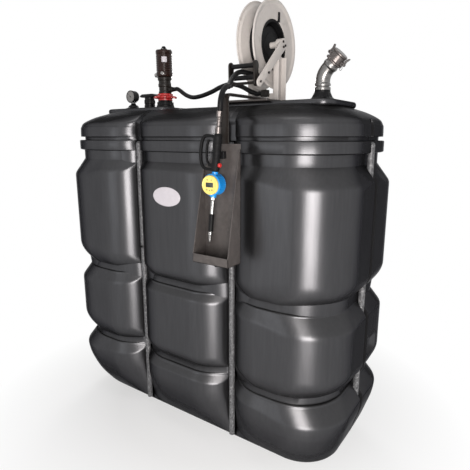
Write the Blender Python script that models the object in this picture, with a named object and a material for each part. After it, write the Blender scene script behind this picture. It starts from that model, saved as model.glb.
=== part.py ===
"""Moulded plastic oil storage tank with a pump, a hose reel, a metered gun and a drip tray.

Frame: metres, +Z up, origin on the floor under the middle of the tank, long front towards -Y.
The tank is a three-tier moulded shell with a separate domed roof.  Straight tubes stand in
the grooves between its lobes.  On the roof are a level gauge, a vent, a drum pump, a hose
reel with a roller guide and a filler with a dust cap.  The reel's base plate carries an arm
with the drip tray, where the metering gun hangs on the end of the reel's hose.
"""
import math

import bmesh
import bpy
from mathutils import Matrix, Vector

GAP = 0.0003                 # between pieces that touch
LOBE_STEPS = (0.0, 0.09, 0.26, 0.56, 1.0)   # places of the plan's points along each lobe
ARC_STEPS = 5

# tank body: its heights are in parts of PAD_Z and its plan's levels in parts of TANK_DEPTH
TANK_LENGTH = 1.63
TANK_DEPTH = 0.74
PAD_Z = 1.597                # top of the raised pads on the roof
RISE = PAD_Z / 1597          # one part of the height
PART = TANK_DEPTH / 740      # one part of the depth
WALL = 0.012
RIB_X = 0.28                 # front and back grooves, from the middle
GROOVE_IN = 112 * PART       # groove floor, in from the widest outline
END_GROOVE_IN = 45 * PART    # the same for the narrow slot in each end
GROOVE_HALF = 0.0175
REACH_FRONT = 0.165          # how far from a groove the lobes round over
REACH_END = 0.012
BASE_NARROW = 45 * PART      # the long sides draw in by this much more at the floor
BASE_RISE = 200 * RISE
RIM_Z = 1434 * RISE
CROWN_Z = 1582 * RISE

# The plan at a level is a rounded rectangle that is inset from the widest outline.
# outer wall: height, inset of the ends, inset of the sides, corner radius, roundness of lobes
TIER_CORNER = 220
TIER_ROUND = 0.52
WAIST_END = 58
WAIST_SIDE = 12
WAIST_CORNER = 240
WAIST_ROUND = 1.15
RIM_ROUND = 0.60             # roundness of the lobes at the rim and the roof skirt
SHELL_LEVELS = [
    (0, 92, 92, 180, 1.00),
    (14, 78, 78, 185, 1.00),
    (110, 40, 40, 200, 0.70),
    (250, 2, 2, TIER_CORNER, TIER_ROUND),
    (290, 14, 2, TIER_CORNER, 0.62),
    (325, 42, 6, TIER_CORNER, 0.90),
    (342, WAIST_END, WAIST_SIDE, WAIST_CORNER, WAIST_ROUND),
    (380, WAIST_END, WAIST_SIDE, WAIST_CORNER, WAIST_ROUND),
    (405, 36, 4, TIER_CORNER, 0.80),
    (460, 2, 0, TIER_CORNER, TIER_ROUND),
    (660, 2, 0, TIER_CORNER, TIER_ROUND),
    (700, 18, 2, TIER_CORNER, 0.62),
    (730, 44, 6, TIER_CORNER, 0.90),
    (745, WAIST_END, WAIST_SIDE, WAIST_CORNER, WAIST_ROUND),
    (785, WAIST_END, WAIST_SIDE, WAIST_CORNER, WAIST_ROUND),
    (815, 34, 4, TIER_CORNER, 0.80),
    (875, 4, 0, TIER_CORNER, TIER_ROUND),
    (1235, 0, 0, TIER_CORNER, TIER_ROUND),
    (1285, 14, 2, TIER_CORNER, 0.62),
    (1320, 40, 8, TIER_CORNER, 0.90),
    (1338, WAIST_END, 22, WAIST_CORNER, 0.90),
    (1383, WAIST_END, 22, WAIST_CORNER, 0.90),
    (1387, 26, 14, WAIST_CORNER, RIM_ROUND),
    (1430, 26, 14, WAIST_CORNER, RIM_ROUND),
    (1434, 30, 18, WAIST_CORNER, RIM_ROUND),
]
# inner wall of the shell: height, insets of the outer wall beside it
LINING_LEVELS = [
    (16, 100, 100), (250, 20, 16), (361, 66, 18), (460, 18, 14), (660, 18, 14),
    (765, 66, 18), (875, 22, 14), (1235, 14, 12), (1345, 66, 28), (1434, 66, 28),
]
# roof outside: the same five, then the depth of the notch at each groove
ROOF_LEVELS = [
    (1434, 46, 34, WAIST_CORNER, RIM_ROUND, None),
    (1449, 46, 34, WAIST_CORNER, RIM_ROUND, None),
    (1452, 30, 20, WAIST_CORNER, RIM_ROUND, None),
    (1498, 32, 22, WAIST_CORNER, RIM_ROUND, None),
    (1522, 46, 38, 230, 0.70, 64),
    (1548, 88, 84, 210, 0.80, 45),
    (1567, 138, 136, 190, 0.90, 28),
    (1582, 182, 182, 155, 1.00, 15),
]
ROOF_LINING = [
    (1562, 220, 220, 120, 1.00, 20),
    (1554, 180, 180, 155, 1.00, 30),
    (1534, 105, 105, 190, 0.90, 50),
    (1498, 64, 56, 210, 0.80, 68),
    (1434, 76, 64, 200, 0.75, 60),
]

# tubes in the grooves
TUBE_R = 0.014
TUBE_FOOT_Z = 0.035
END_TUBE_FOOT_Z = 215 * RISE      # the end tubes stop in the lowest tier
TUBE_TOP_Z = RIM_Z - 0.004

# drum pump
PUMP_X = 0.465 - TANK_LENGTH / 2
PUMP_BUNG_R = 0.052
PUMP_BUNG_H = 0.043
SUCTION_R = 0.021
SUCTION_FOOT_Z = 0.060
NUT_R = 0.062
NUT_H = 0.034
PUMP_R = 0.037
PUMP_H = 0.085
MOTOR_R = 0.045
MOTOR_H = 0.135
INLET_R = 0.014
OUTLET_R = 0.016

# vent, gauge and filler
VENT_X = PUMP_X - 0.118
VENT_STEM_R = 0.030
VENT_STEM_H = 0.061
VENT_BAR = (0.112, 0.046, 0.018)
GAUGE_X = VENT_X - 0.132
GAUGE_BASE_R = 0.052
GAUGE_BASE_H = 0.036
GAUGE_R = 0.034
GAUGE_DEEP = 0.044
GAUGE_Z = PAD_Z + 0.075
FILLER_X = TANK_LENGTH / 2 - 0.256
FILLER_BASE_R = 0.058
FILLER_BASE_H = 0.043
FILLER_R = 0.034
ELBOW_BEND = 0.070
ELBOW_TURN = math.radians(45)
CAP_R = 0.039
CAP_LENGTH = 0.048
FILLER_RING_H = 0.019
ELBOW_FOOT = 0.018
ELBOW_NOSE = 0.032
LEVER_PIVOT = 0.020
LEVER_OUT = 0.0405
LEVER_HALF = 0.007
LEVER_LENGTH = 0.034
LEVER_PIN_R = 0.0025
LEVER_EYE_R = 0.0055
EAR_T = 0.005

# hose reel
REEL_X = TANK_LENGTH / 2 - 0.560
REEL_Y = 0.050
REEL_Z = PAD_Z + 0.261
REEL_WIDTH = 0.060
REEL_NEAR_X = REEL_X + REEL_WIDTH / 2
REEL_FAR_X = REEL_X - REEL_WIDTH / 2
FLANGE_R = 0.193
DRUM_R = 0.105
REEL_WALL = 0.004
SHAFT_R = 0.014
SPRING_CASE_R = 0.086
POST = (0.028, 0.073)        # across X and along Y
POST_CLEAR = 0.024
CHANNEL_H = 0.040
SHEET_T = 0.004
HUB_R = 0.024
PLATE = (REEL_X - 0.105, REEL_X + 0.145, -0.190, 0.115)
PLATE_T = 0.008
INLET_X = REEL_X + 0.007
INLET_Z = PAD_Z + 0.048
INLET_SIZE = 0.030

# hoses
HOSE_R = 0.0105
HOSE_STRAIGHT = 0.030        # straight run at a fitting
GUIDE_Y = -0.155
GUIDE_Z = PAD_Z + 0.125
ROLLER_R = 0.011
ROLLER_GAP = 0.026
ROLLER_HALF = 0.058
GUIDE_X = REEL_X + 0.0035    # middle of the rollers
PIN_R = 0.004
GUIDE_T = 0.008
TIE_R = 0.006
COIL_R = DRUM_R + 2 * HOSE_R

# arm and tray
ARM_X = REEL_X + 0.090
ARM_WIDTH = 0.045
ARM_T = 0.006
TRAY_Y = -TANK_DEPTH / 2 - 0.050
TRAY_LEFT_X = REEL_X - 0.005
TRAY_RIGHT_X = REEL_X + 0.170
TRAY_TOP_Z = PAD_Z - 0.173
TRAY_FOOT_Z = TRAY_TOP_Z - 0.467
TRAY_DEEP = 0.083
TRAY_LIP = 0.036
TRAY_T = 0.003

# roof pads and the hose's hanging stretch
PADS = {"left": (GAUGE_X - 0.055, PUMP_X + 0.135), "right": (REEL_X - 0.140, FILLER_X + 0.081)}
PAD_HALF_DEPTH = TANK_DEPTH / 2 - 0.205
PAD_CORNER = 0.42 * PAD_HALF_DEPTH
# X from the reel, share of the way from the rollers to the tray in Y, Z above the pads
DELIVERY_ROUTE = [(0.004, 0.189, 0.113), (0.020, 0.415, 0.081), (0.050, 0.642, 0.053),
                  (0.081, 0.811, 0.043), (0.090, 0.928, 0.037), (0.095, 1.030, 0.018),
                  (0.098, 1.091, -0.008)]
# share of the way from the pump to the inlet block in X, then Y, and Z above the pads
SUPPLY_ROUTE = [(0.100, -0.006, 0.087), (0.191, -0.022, 0.063), (0.300, -0.040, 0.047),
                (0.417, -0.052, 0.049), (0.544, -0.058, 0.064), (0.643, -0.055, 0.084),
                (0.734, -0.045, 0.094), (0.819, -0.030, 0.083), (0.897, -0.012, 0.059)]

# gun: distances along it from its top
GUN_TOP = Vector((REEL_X + 0.097, TRAY_Y - 0.030, PAD_Z - 0.052))
GUN_DOWN = Vector((-0.030, -0.032, -0.500)).normalized()
GUN_GRIP = 0.084
METER_W = 0.275
METER_BOSS = 0.049
METER_R = 0.043
METER_DEEP = 0.063
HANDLE_END = METER_W - METER_BOSS - GAP
SLEEVE_W = METER_W + 0.115
TIP_W = SLEEVE_W + 0.070
GUN_LENGTH = TIP_W + 0.042
TRIGGER_OUT = 0.026


def along_handle(share):
    """Distance from the gun's top at a share of the handle's length."""
    return GUN_GRIP + (HANDLE_END - GUN_GRIP) * share


TRIGGER_PIVOT = (TRIGGER_OUT, along_handle(0.84))


def material(name, colour, roughness, metallic=0.0):
    """Return the named Principled material, making it once."""
    found = bpy.data.materials.get(name)
    if found:
        return found
    made = bpy.data.materials.new(name)
    made.use_nodes = True
    shader = made.node_tree.nodes["Principled BSDF"]
    shader.inputs["Base Color"].default_value = (*colour, 1.0)
    shader.inputs["Roughness"].default_value = roughness
    shader.inputs["Metallic"].default_value = metallic
    made.diffuse_color = (*colour, 1.0)
    return made


def moulded_grey():
    return material("tank_plastic", (0.075, 0.075, 0.080), 0.38, 0.35)


def zinc():
    return material("zinc", (0.42, 0.42, 0.43), 0.45, 0.9)


def black_plastic():
    return material("black_plastic", (0.018, 0.018, 0.020), 0.45)


def polished():
    return material("polished_metal", (0.72, 0.71, 0.70), 0.22, 1.0)


def reel_paint():
    return material("reel_paint", (0.78, 0.76, 0.74), 0.40)


def tray_paint():
    return material("tray_paint", (0.060, 0.052, 0.052), 0.50, 0.2)


def rubber():
    return material("hose_rubber", (0.015, 0.015, 0.016), 0.55)


def finish(bm, name, surface, place=None, smooth=35.0):
    """Turn a bmesh into a linked object with its faces pointing out."""
    bmesh.ops.remove_doubles(bm, verts=bm.verts, dist=0.00001)
    bmesh.ops.recalc_face_normals(bm, faces=bm.faces)
    mesh = bpy.data.meshes.new(name)
    bm.to_mesh(mesh)
    bm.free()
    mesh.materials.append(surface)
    mesh.shade_smooth()
    mesh.set_sharp_from_angle(angle=math.radians(smooth))
    made = bpy.data.objects.new(name, mesh)
    bpy.context.scene.collection.objects.link(made)
    if place is not None:
        made.matrix_world = place
    return made


def bridge_rings(bm, rings, closed=False):
    """Join rings of equally many vertices with quads, end to end or round in a loop."""
    count = len(rings[0])
    pairs = list(zip(rings, rings[1:]))
    if closed:
        pairs.append((rings[-1], rings[0]))
    for lower, upper in pairs:
        for i in range(count):
            j = (i + 1) % count
            bm.faces.new((lower[i], lower[j], upper[j], upper[i]))


def add_lathe(bm, profile, segments=24, hollow=False, place=Matrix.Identity(4)):
    """Turn a profile of (radius, height) about Z; a hollow profile is a closed loop."""
    rings = []
    for radius, height in profile:
        ring = []
        for i in range(segments):
            turn = 2 * math.pi * i / segments
            spot = Vector((radius * math.cos(turn), radius * math.sin(turn), height))
            ring.append(bm.verts.new(place @ spot))
        rings.append(ring)
    bridge_rings(bm, rings, hollow)
    if not hollow:
        bm.faces.new(rings[0])
        bm.faces.new(rings[-1])


def lathe(name, profile, surface, place, segments=24, hollow=False):
    bm = bmesh.new()
    add_lathe(bm, profile, segments, hollow)
    return finish(bm, name, surface, place)


def add_box(bm, low, high):
    """Add a box between two corners and return its vertices."""
    made = bmesh.ops.create_cube(bm, size=1.0)["verts"]
    low, high = Vector(low), Vector(high)
    for vert in made:
        vert.co = Vector(a + (b - a) * (c + 0.5) for a, b, c in zip(low, high, vert.co))
    return made


def add_prism(bm, outline, start, end, axis):
    """Extrude an outline of pairs along an axis between two places."""
    rings = []
    for along in (start, end):
        ring = []
        for u, v in outline:
            spot = [u, v]
            spot.insert("XYZ".index(axis), along)
            ring.append(bm.verts.new(spot))
        rings.append(ring)
    bridge_rings(bm, rings)
    bm.faces.new(rings[0])
    bm.faces.new(rings[1])


def at(x, y, z):
    return Matrix.Translation((x, y, z))


def facing(place, direction):
    """Return a matrix at a place whose local Z points in a direction."""
    turn = Vector((0, 0, 1)).rotation_difference(Vector(direction).normalized())
    return Matrix.Translation(place) @ turn.to_matrix().to_4x4()


def rounded_profile(radius, low, high, edge):
    """A solid cylinder's profile with its two edges broken."""
    return [(radius - edge, low), (radius, low + edge), (radius, high - edge), (radius - edge, high)]


def boolean(target, cutter, operation):
    modifier = target.modifiers.new(cutter.name, "BOOLEAN")
    modifier.operation = operation
    modifier.solver = "EXACT"
    modifier.object = cutter
    cutter.hide_render = True
    cutter.display_type = "WIRE"


def lobe_dip(distance, depth, reach, roundness):
    """How far the wall lies inside the plain outline at a distance from a groove's edge."""
    near = min(max(distance / reach, 0.0), 1.0)
    return depth * (1.0 - (1.0 - (1.0 - near) ** 2) ** roundness)


def quarter_outline(half_x, half_y, radius, roundness, end_depth, side_depth):
    """Points of one quarter of the tank's plan, from the end's middle to the back's middle.

    The plain outline is a rounded rectangle.  Along its normal it dips to the groove floors
    at the end's middle and at RIB_X, and each lobe rounds over towards its grooves.
    """
    side = half_y - radius
    arc = math.pi / 2 * radius
    points = [(half_x - end_depth, 0.0)]
    for step in LOBE_STEPS:
        along = GROOVE_HALF + (side - GROOVE_HALF) * step
        dip = lobe_dip(along - GROOVE_HALF, end_depth, REACH_END, roundness)
        points.append((half_x - dip, along))
    straight = half_x - radius - RIB_X - GROOVE_HALF
    for i in range(1, ARC_STEPS):
        turn = math.pi / 2 * i / ARC_STEPS
        from_end = side - GROOVE_HALF + turn * radius
        from_rib = straight + arc - turn * radius
        dip = max(lobe_dip(from_end, end_depth, REACH_END, roundness),
                  lobe_dip(from_rib, side_depth, REACH_FRONT, roundness))
        reach = radius - dip
        points.append((half_x - radius + reach * math.cos(turn), side + reach * math.sin(turn)))
    for step in reversed(LOBE_STEPS):
        along = straight * step
        dip = lobe_dip(along, side_depth, REACH_FRONT, roundness)
        points.append((RIB_X + GROOVE_HALF + along, half_y - dip))
    for step in LOBE_STEPS:
        along = (RIB_X - GROOVE_HALF) * step
        dip = lobe_dip(along, side_depth, REACH_FRONT, roundness)
        points.append((RIB_X - GROOVE_HALF - along, half_y - dip))
    return points


def base_narrow(height):
    """How much more than the ends the long sides lie in, near the floor."""
    return BASE_NARROW * max(0.0, 1.0 - height / BASE_RISE) ** 2


def tank_ring(bm, level, wall=0.0, lift=0.0):
    """Add one level of the tank's plan, mirrored from its quarter, as a ring of vertices."""
    height = level[0] * RISE
    end_inset, side_inset, radius = [PART * parts for parts in level[1:4]]
    roundness = level[4]
    narrow = base_narrow(height)
    side_depth = max(GROOVE_IN - side_inset - narrow, 0.0)
    end_depth = max(END_GROOVE_IN - end_inset, 0.0)
    if len(level) > 5 and level[5] is not None:
        side_depth = PART * level[5]
        end_depth = min(side_depth, end_depth)
    half_x = TANK_LENGTH / 2 - end_inset - wall
    half_y = TANK_DEPTH / 2 - side_inset - narrow - wall
    quarter = quarter_outline(half_x, half_y, radius - wall, roundness, end_depth, side_depth)
    back_left = [(-x, y) for x, y in reversed(quarter[:-1])]
    half = quarter + back_left
    front = [(x, -y) for x, y in reversed(half[1:-1])]
    return [bm.verts.new((x, y, height + lift)) for x, y in half + front]


def outer_corner(height):
    """Corner radius and roundness of the outer wall at a height, between its levels."""
    for low, high in zip(SHELL_LEVELS, SHELL_LEVELS[1:]):
        if low[0] <= height <= high[0]:
            share = (height - low[0]) / (high[0] - low[0])
            return [a + (b - a) * share for a, b in zip(low[3:], high[3:])]
    return SHELL_LEVELS[-1][3:]


def build_shell():
    """The tub: outer wall with three tiers and a rim, inner wall, floor and open top."""
    bm = bmesh.new()
    outer = [tank_ring(bm, level) for level in SHELL_LEVELS]
    inner = [tank_ring(bm, (*level, *outer_corner(level[0])), WALL) for level in LINING_LEVELS]
    bridge_rings(bm, outer + inner[::-1])
    bm.faces.new(outer[0])
    bm.faces.new(inner[0])
    return finish(bm, "tank_shell", moulded_grey())


def build_roof():
    """The domed roof with two raised pads and the bores for the fittings."""
    bm = bmesh.new()
    rings = [tank_ring(bm, level, lift=GAP) for level in ROOF_LEVELS]
    lining = [tank_ring(bm, level, lift=GAP) for level in ROOF_LINING]
    bm.faces.new(rings[-1])
    bm.faces.new(lining[0])
    bridge_rings(bm, lining + rings)
    roof = finish(bm, "tank_roof", moulded_grey())
    for side, (low, high) in PADS.items():
        pad = bmesh.new()
        rings = []
        for height, shrink in ((CROWN_Z - 0.006, 0.0), (PAD_Z - 0.004, 0.003), (PAD_Z, 0.010)):
            ring = rounded_rectangle(low + shrink, high - shrink, PAD_HALF_DEPTH - shrink,
                                     PAD_CORNER)
            rings.append([pad.verts.new((x, y, height)) for x, y in ring])
        bridge_rings(pad, rings)
        pad.faces.new(rings[0])
        pad.faces.new(rings[-1])
        boolean(roof, finish(pad, "guide_pad_" + side, moulded_grey()), "UNION")
    bores = {"pump": (PUMP_X, SUCTION_R), "filler": (FILLER_X, FILLER_R - 0.008),
             "vent": (VENT_X, VENT_STEM_R - 0.012), "gauge": (GAUGE_X, 0.012)}
    for label, (x, radius) in bores.items():
        profile = [(radius + 0.002, CROWN_Z - 0.07), (radius + 0.002, PAD_Z + 0.05)]
        cutter = lathe("cutter_" + label, profile, moulded_grey(), at(x, 0, 0), 20)
        boolean(roof, cutter, "DIFFERENCE")
    return roof


def rounded_rectangle(low, high, half, radius):
    """Outline between two X places and +-half in Y, with four points to each corner."""
    points = []
    corners = ((high, half, 0), (low, half, 90), (low, -half, 180), (high, -half, 270))
    for x, y, start in corners:
        cx = x - math.copysign(radius, x - (low + high) / 2)
        cy = y - math.copysign(radius, y)
        for i in range(5):
            turn = math.radians(start + 22.5 * i)
            points.append((cx + radius * math.cos(turn), cy + radius * math.sin(turn)))
    return points


def groove_tube_places():
    """Name and place of each tube: two on each long side, one on each end."""
    along_x = TANK_LENGTH / 2 - END_GROOVE_IN + TUBE_R + GAP
    along_y = TANK_DEPTH / 2 - GROOVE_IN + TUBE_R + GAP
    return {
        "tube_front_left": (-RIB_X, -along_y),
        "tube_front_right": (RIB_X, -along_y),
        "tube_back_left": (-RIB_X, along_y),
        "tube_back_right": (RIB_X, along_y),
        "tube_left_end": (-along_x, 0.0),
        "tube_right_end": (along_x, 0.0),
    }


def build_tubes():
    """Round tubes with domed tops that stand in the grooves."""
    crown = [(TUBE_R * math.cos(a), TUBE_TOP_Z - TUBE_R + TUBE_R * math.sin(a))
             for a in map(math.radians, (0, 35, 65))]
    for name, (x, y) in groove_tube_places().items():
        foot = TUBE_FOOT_Z if y else END_TUBE_FOOT_Z
        lathe(name, [(TUBE_R, foot)] + crown, zinc(), at(x, y, 0), 12)


def build_pump():
    """Drum pump: bung, flange nut, suction tube, pump barrel, air motor and its ports."""
    foot = PAD_Z + GAP
    bore = SUCTION_R + GAP
    bung = [(bore, 0), (PUMP_BUNG_R, 0), (PUMP_BUNG_R, 0.006), (NUT_R * 0.62, PUMP_BUNG_H),
            (bore, PUMP_BUNG_H)]
    lathe("pump_bung", bung, black_plastic(), at(PUMP_X, 0, foot), 24, hollow=True)
    nut_z = foot + PUMP_BUNG_H + GAP
    nut = [(bore, 0), (NUT_R * 0.62, 0), (NUT_R * 0.62, 0.008), (NUT_R, 0.011),
           (NUT_R, 0.021), (NUT_R * 0.66, 0.026), (NUT_R * 0.66, NUT_H), (bore, NUT_H)]
    red = material("red_plastic", (0.42, 0.020, 0.018), 0.42)
    lathe("pump_nut", nut, red, at(PUMP_X, 0, nut_z), 24, hollow=True)
    barrel_z = nut_z + NUT_H + GAP
    tube = rounded_profile(SUCTION_R, SUCTION_FOOT_Z, barrel_z - GAP, 0.002)
    lathe("suction_tube", tube, zinc(), at(PUMP_X, 0, 0), 16)
    lathe("pump_barrel", rounded_profile(PUMP_R, 0, PUMP_H, 0.003), black_plastic(),
          at(PUMP_X, 0, barrel_z), 24)
    motor_z = barrel_z + PUMP_H + GAP
    body = material("motor_paint", (0.030, 0.018, 0.015), 0.35, 0.3)
    motor = [(MOTOR_R - 0.006, 0), (MOTOR_R, 0.006), (MOTOR_R, 0.074), (MOTOR_R - 0.003, 0.078),
             (MOTOR_R - 0.003, 0.090), (MOTOR_R, 0.094), (MOTOR_R, MOTOR_H - 0.006),
             (MOTOR_R - 0.005, MOTOR_H)]
    lathe("air_motor", motor, body, at(PUMP_X, 0, motor_z), 24)
    knob = [(0.016, 0), (0.016, 0.008), (0.011, 0.016), (0.005, 0.019)]
    lathe("motor_muffler", knob, black_plastic(), at(PUMP_X, 0, motor_z + MOTOR_H + GAP), 16)
    inlet_z = motor_z + 0.014
    place = facing((PUMP_X - MOTOR_R - GAP, 0, inlet_z), (-1, 0, 0))
    inlet = [(INLET_R, 0), (INLET_R, 0.010), (INLET_R * 0.8, 0.012), (INLET_R * 0.8, 0.020)]
    lathe("air_inlet", inlet, polished(), place, 16)
    outlet_z = barrel_z + 0.020
    place = facing((PUMP_X + PUMP_R + GAP, 0, outlet_z), (1, 0, 0))
    outlet = [(OUTLET_R, 0), (OUTLET_R, 0.012), (OUTLET_R * 0.78, 0.014),
              (OUTLET_R * 0.78, 0.022)]
    lathe("pump_outlet", outlet, black_plastic(), place, 16)
    return Vector((PUMP_X + PUMP_R + 0.022 + 2 * GAP, 0, outlet_z))


def build_vent():
    """Breather with a T-shaped handle bar on a short stem."""
    foot = PAD_Z + GAP
    bm = bmesh.new()
    stem = [(VENT_STEM_R + 0.006, 0), (VENT_STEM_R + 0.004, 0.006), (VENT_STEM_R, 0.010),
            (VENT_STEM_R, VENT_STEM_H), (VENT_STEM_R - 0.006, VENT_STEM_H + 0.003)]
    add_lathe(bm, stem, 24)
    finish(bm, "vent_stem", black_plastic(), at(VENT_X, 0, foot))
    bm = bmesh.new()
    long, deep, high = VENT_BAR
    outline = [(-long / 2, 0.004), (-long / 2 + 0.014, 0.0), (long / 2 - 0.014, 0.0),
               (long / 2, 0.004), (long / 2, 0.010), (long / 2 - 0.016, high),
               (-long / 2 + 0.016, high), (-long / 2, 0.010)]
    add_prism(bm, outline, -deep / 2, deep / 2, "Y")
    finish(bm, "vent_bar", black_plastic(), at(VENT_X, 0, foot + VENT_STEM_H + 0.003 + GAP))


def build_gauge():
    """Level gauge: low round base, neck and a round dial that faces the front."""
    foot = PAD_Z + GAP
    neck_top = GAUGE_Z - GAUGE_R - PAD_Z - 2 * GAP
    base = [(GAUGE_BASE_R, 0), (GAUGE_BASE_R * 0.97, 0.008), (GAUGE_BASE_R * 0.5, GAUGE_BASE_H * 0.8),
            (0.012, neck_top)]
    lathe("gauge_base", base, black_plastic(), at(GAUGE_X, 0, foot), 24)
    half = GAUGE_DEEP / 2
    case = [(GAUGE_R - 0.005, -half), (GAUGE_R, -half + 0.005), (GAUGE_R, half - 0.002),
            (GAUGE_R - 0.002, half), (GAUGE_R - 0.004, half), (GAUGE_R - 0.004, half - 0.004)]
    lathe("gauge_case", case, black_plastic(), facing((GAUGE_X, 0, GAUGE_Z), (0, -1, 0)), 24)
    dial = rounded_profile(GAUGE_R - 0.0045, 0, 0.002, 0.0005)
    face = material("dial_white", (0.62, 0.60, 0.58), 0.45)
    lathe("gauge_dial", dial, face, facing((GAUGE_X, -half + 0.004 - GAP, GAUGE_Z), (0, -1, 0)), 24)


def elbow_axis():
    """Direction of the filler's upper end and the direction across it in the elbow's plane."""
    axis = Vector((math.sin(ELBOW_TURN), 0, math.cos(ELBOW_TURN)))
    across = Vector((math.cos(ELBOW_TURN), 0, -math.sin(ELBOW_TURN)))
    return axis, across


def build_filler():
    """Filler: bung, ring, 45 degree elbow and a cap held by two cam levers."""
    foot = PAD_Z + GAP
    bung = [(FILLER_BASE_R, 0), (FILLER_BASE_R - 0.002, 0.008), (FILLER_R, FILLER_BASE_H - 0.008),
            (FILLER_R, FILLER_BASE_H)]
    lathe("filler_bung", bung, black_plastic(), at(FILLER_X, 0, foot), 24)
    ring_z = foot + FILLER_BASE_H + GAP
    ring = [(FILLER_R - 0.003, 0), (FILLER_R, 0.003), (FILLER_R, 0.012), (FILLER_R - 0.005, 0.015),
            (FILLER_R - 0.005, FILLER_RING_H)]
    lathe("filler_ring", ring, polished(), at(FILLER_X, 0, ring_z), 24)
    elbow_z = ring_z + FILLER_RING_H + GAP
    axis, across = elbow_axis()
    centre = Vector((FILLER_X + ELBOW_BEND, 0, elbow_z + ELBOW_FOOT))
    bm = bmesh.new()
    stations = [(Vector((FILLER_X, 0, elbow_z)), 0.0)]
    for i in range(6):
        turn = ELBOW_TURN * i / 5
        arm = Vector((-math.cos(turn), 0, math.sin(turn)))
        stations.append((centre + ELBOW_BEND * arm, turn))
    stations.append((stations[-1][0] + axis * ELBOW_NOSE, ELBOW_TURN))
    rings = []
    for spot, turn in stations:
        side = Vector((math.cos(turn), 0, -math.sin(turn)))
        ring = []
        for i in range(24):
            a = 2 * math.pi * i / 24
            reach = math.cos(a) * side + math.sin(a) * Vector((0, 1, 0))
            ring.append(bm.verts.new(spot + (FILLER_R - 0.002) * reach))
        rings.append(ring)
    bridge_rings(bm, rings)
    bm.faces.new(rings[0])
    bm.faces.new(rings[-1])
    finish(bm, "filler_elbow", polished())
    mouth = stations[-1][0] + axis * GAP
    build_dust_cap(mouth, axis, across)


def build_dust_cap(mouth, axis, across):
    """The cap with a pair of ears on each side, and a cam lever pinned between each pair."""
    body = CAP_R - 0.006
    cap = [(CAP_R - 0.002, 0), (CAP_R, 0.002), (CAP_R, 0.007), (body, 0.010),
           (body, CAP_LENGTH - 0.006), (body + 0.001, CAP_LENGTH - 0.004), (body - 0.003, CAP_LENGTH)]
    shell = lathe("dust_cap", cap, polished(), facing(mouth, axis), 24)
    for name, y_axis, out in (("cam_lever_upper", 1, -across), ("cam_lever_lower", -1, across)):
        frame = Matrix((axis, Vector((0, y_axis, 0)), out)).transposed().to_4x4()
        pivot = mouth + axis * LEVER_PIVOT + out * LEVER_OUT
        place = Matrix.Translation(pivot) @ frame
        for side in (-1, 1):
            ear = bmesh.new()
            outline = [(-0.007, body - 0.004 - LEVER_OUT), (0.007, body - 0.004 - LEVER_OUT),
                       (0.006, 0.003), (0.003, 0.006), (-0.003, 0.006), (-0.006, 0.003)]
            near, far = side * (LEVER_HALF + 0.001), side * (LEVER_HALF + EAR_T)
            add_prism(ear, outline, min(near, far), max(near, far), "Y")
            label = "join_ear_%s_%d" % (name, side)
            boolean(shell, finish(ear, label, polished(), place), "UNION")
        bore = bmesh.new()
        add_lathe(bore, [(LEVER_PIN_R + 0.0005, -0.03), (LEVER_PIN_R + 0.0005, 0.03)], 12,
                  place=Matrix.Rotation(math.pi / 2, 4, "X"))
        boolean(shell, finish(bore, "cutter_" + name, polished(), place), "DIFFERENCE")
        lever = bmesh.new()
        eye = [(LEVER_EYE_R * math.cos(a), LEVER_EYE_R * math.sin(a))
               for a in (math.radians(d) for d in range(60, 331, 30))]
        arm = [(0.008, -0.002), (LEVER_LENGTH * 0.55, -0.002), (LEVER_LENGTH - 0.006, 0.001),
               (LEVER_LENGTH, 0.005), (LEVER_LENGTH - 0.003, 0.007),
               (LEVER_LENGTH - 0.012, 0.0045), (LEVER_LENGTH * 0.5, 0.003)]
        add_prism(lever, eye + arm, -LEVER_HALF, LEVER_HALF, "Y")
        made = finish(lever, name, polished(), place)
        pin = bmesh.new()
        reach = LEVER_HALF + EAR_T
        add_lathe(pin, [(LEVER_PIN_R, -reach), (LEVER_PIN_R, reach)], 12,
                  place=Matrix.Rotation(math.pi / 2, 4, "X"))
        boolean(made, finish(pin, "join_pin_" + name, polished(), place), "UNION")


def link_outline(first, first_r, second, second_r, steps=6):
    """Outline of two round ends joined by straight sides, in the YZ plane."""
    first, second = Vector(first), Vector(second)
    along = second - first
    heading = math.atan2(along.y, along.x)
    lean = math.acos((first_r - second_r) / along.length)
    points = []
    for i in range(steps + 1):
        turn = heading + lean + (2 * math.pi - 2 * lean) * i / steps
        points.append((first.x + first_r * math.cos(turn), first.y + first_r * math.sin(turn)))
    for i in range(steps + 1):
        turn = heading - lean + 2 * lean * i / steps
        points.append((second.x + second_r * math.cos(turn), second.y + second_r * math.sin(turn)))
    return points


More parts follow.
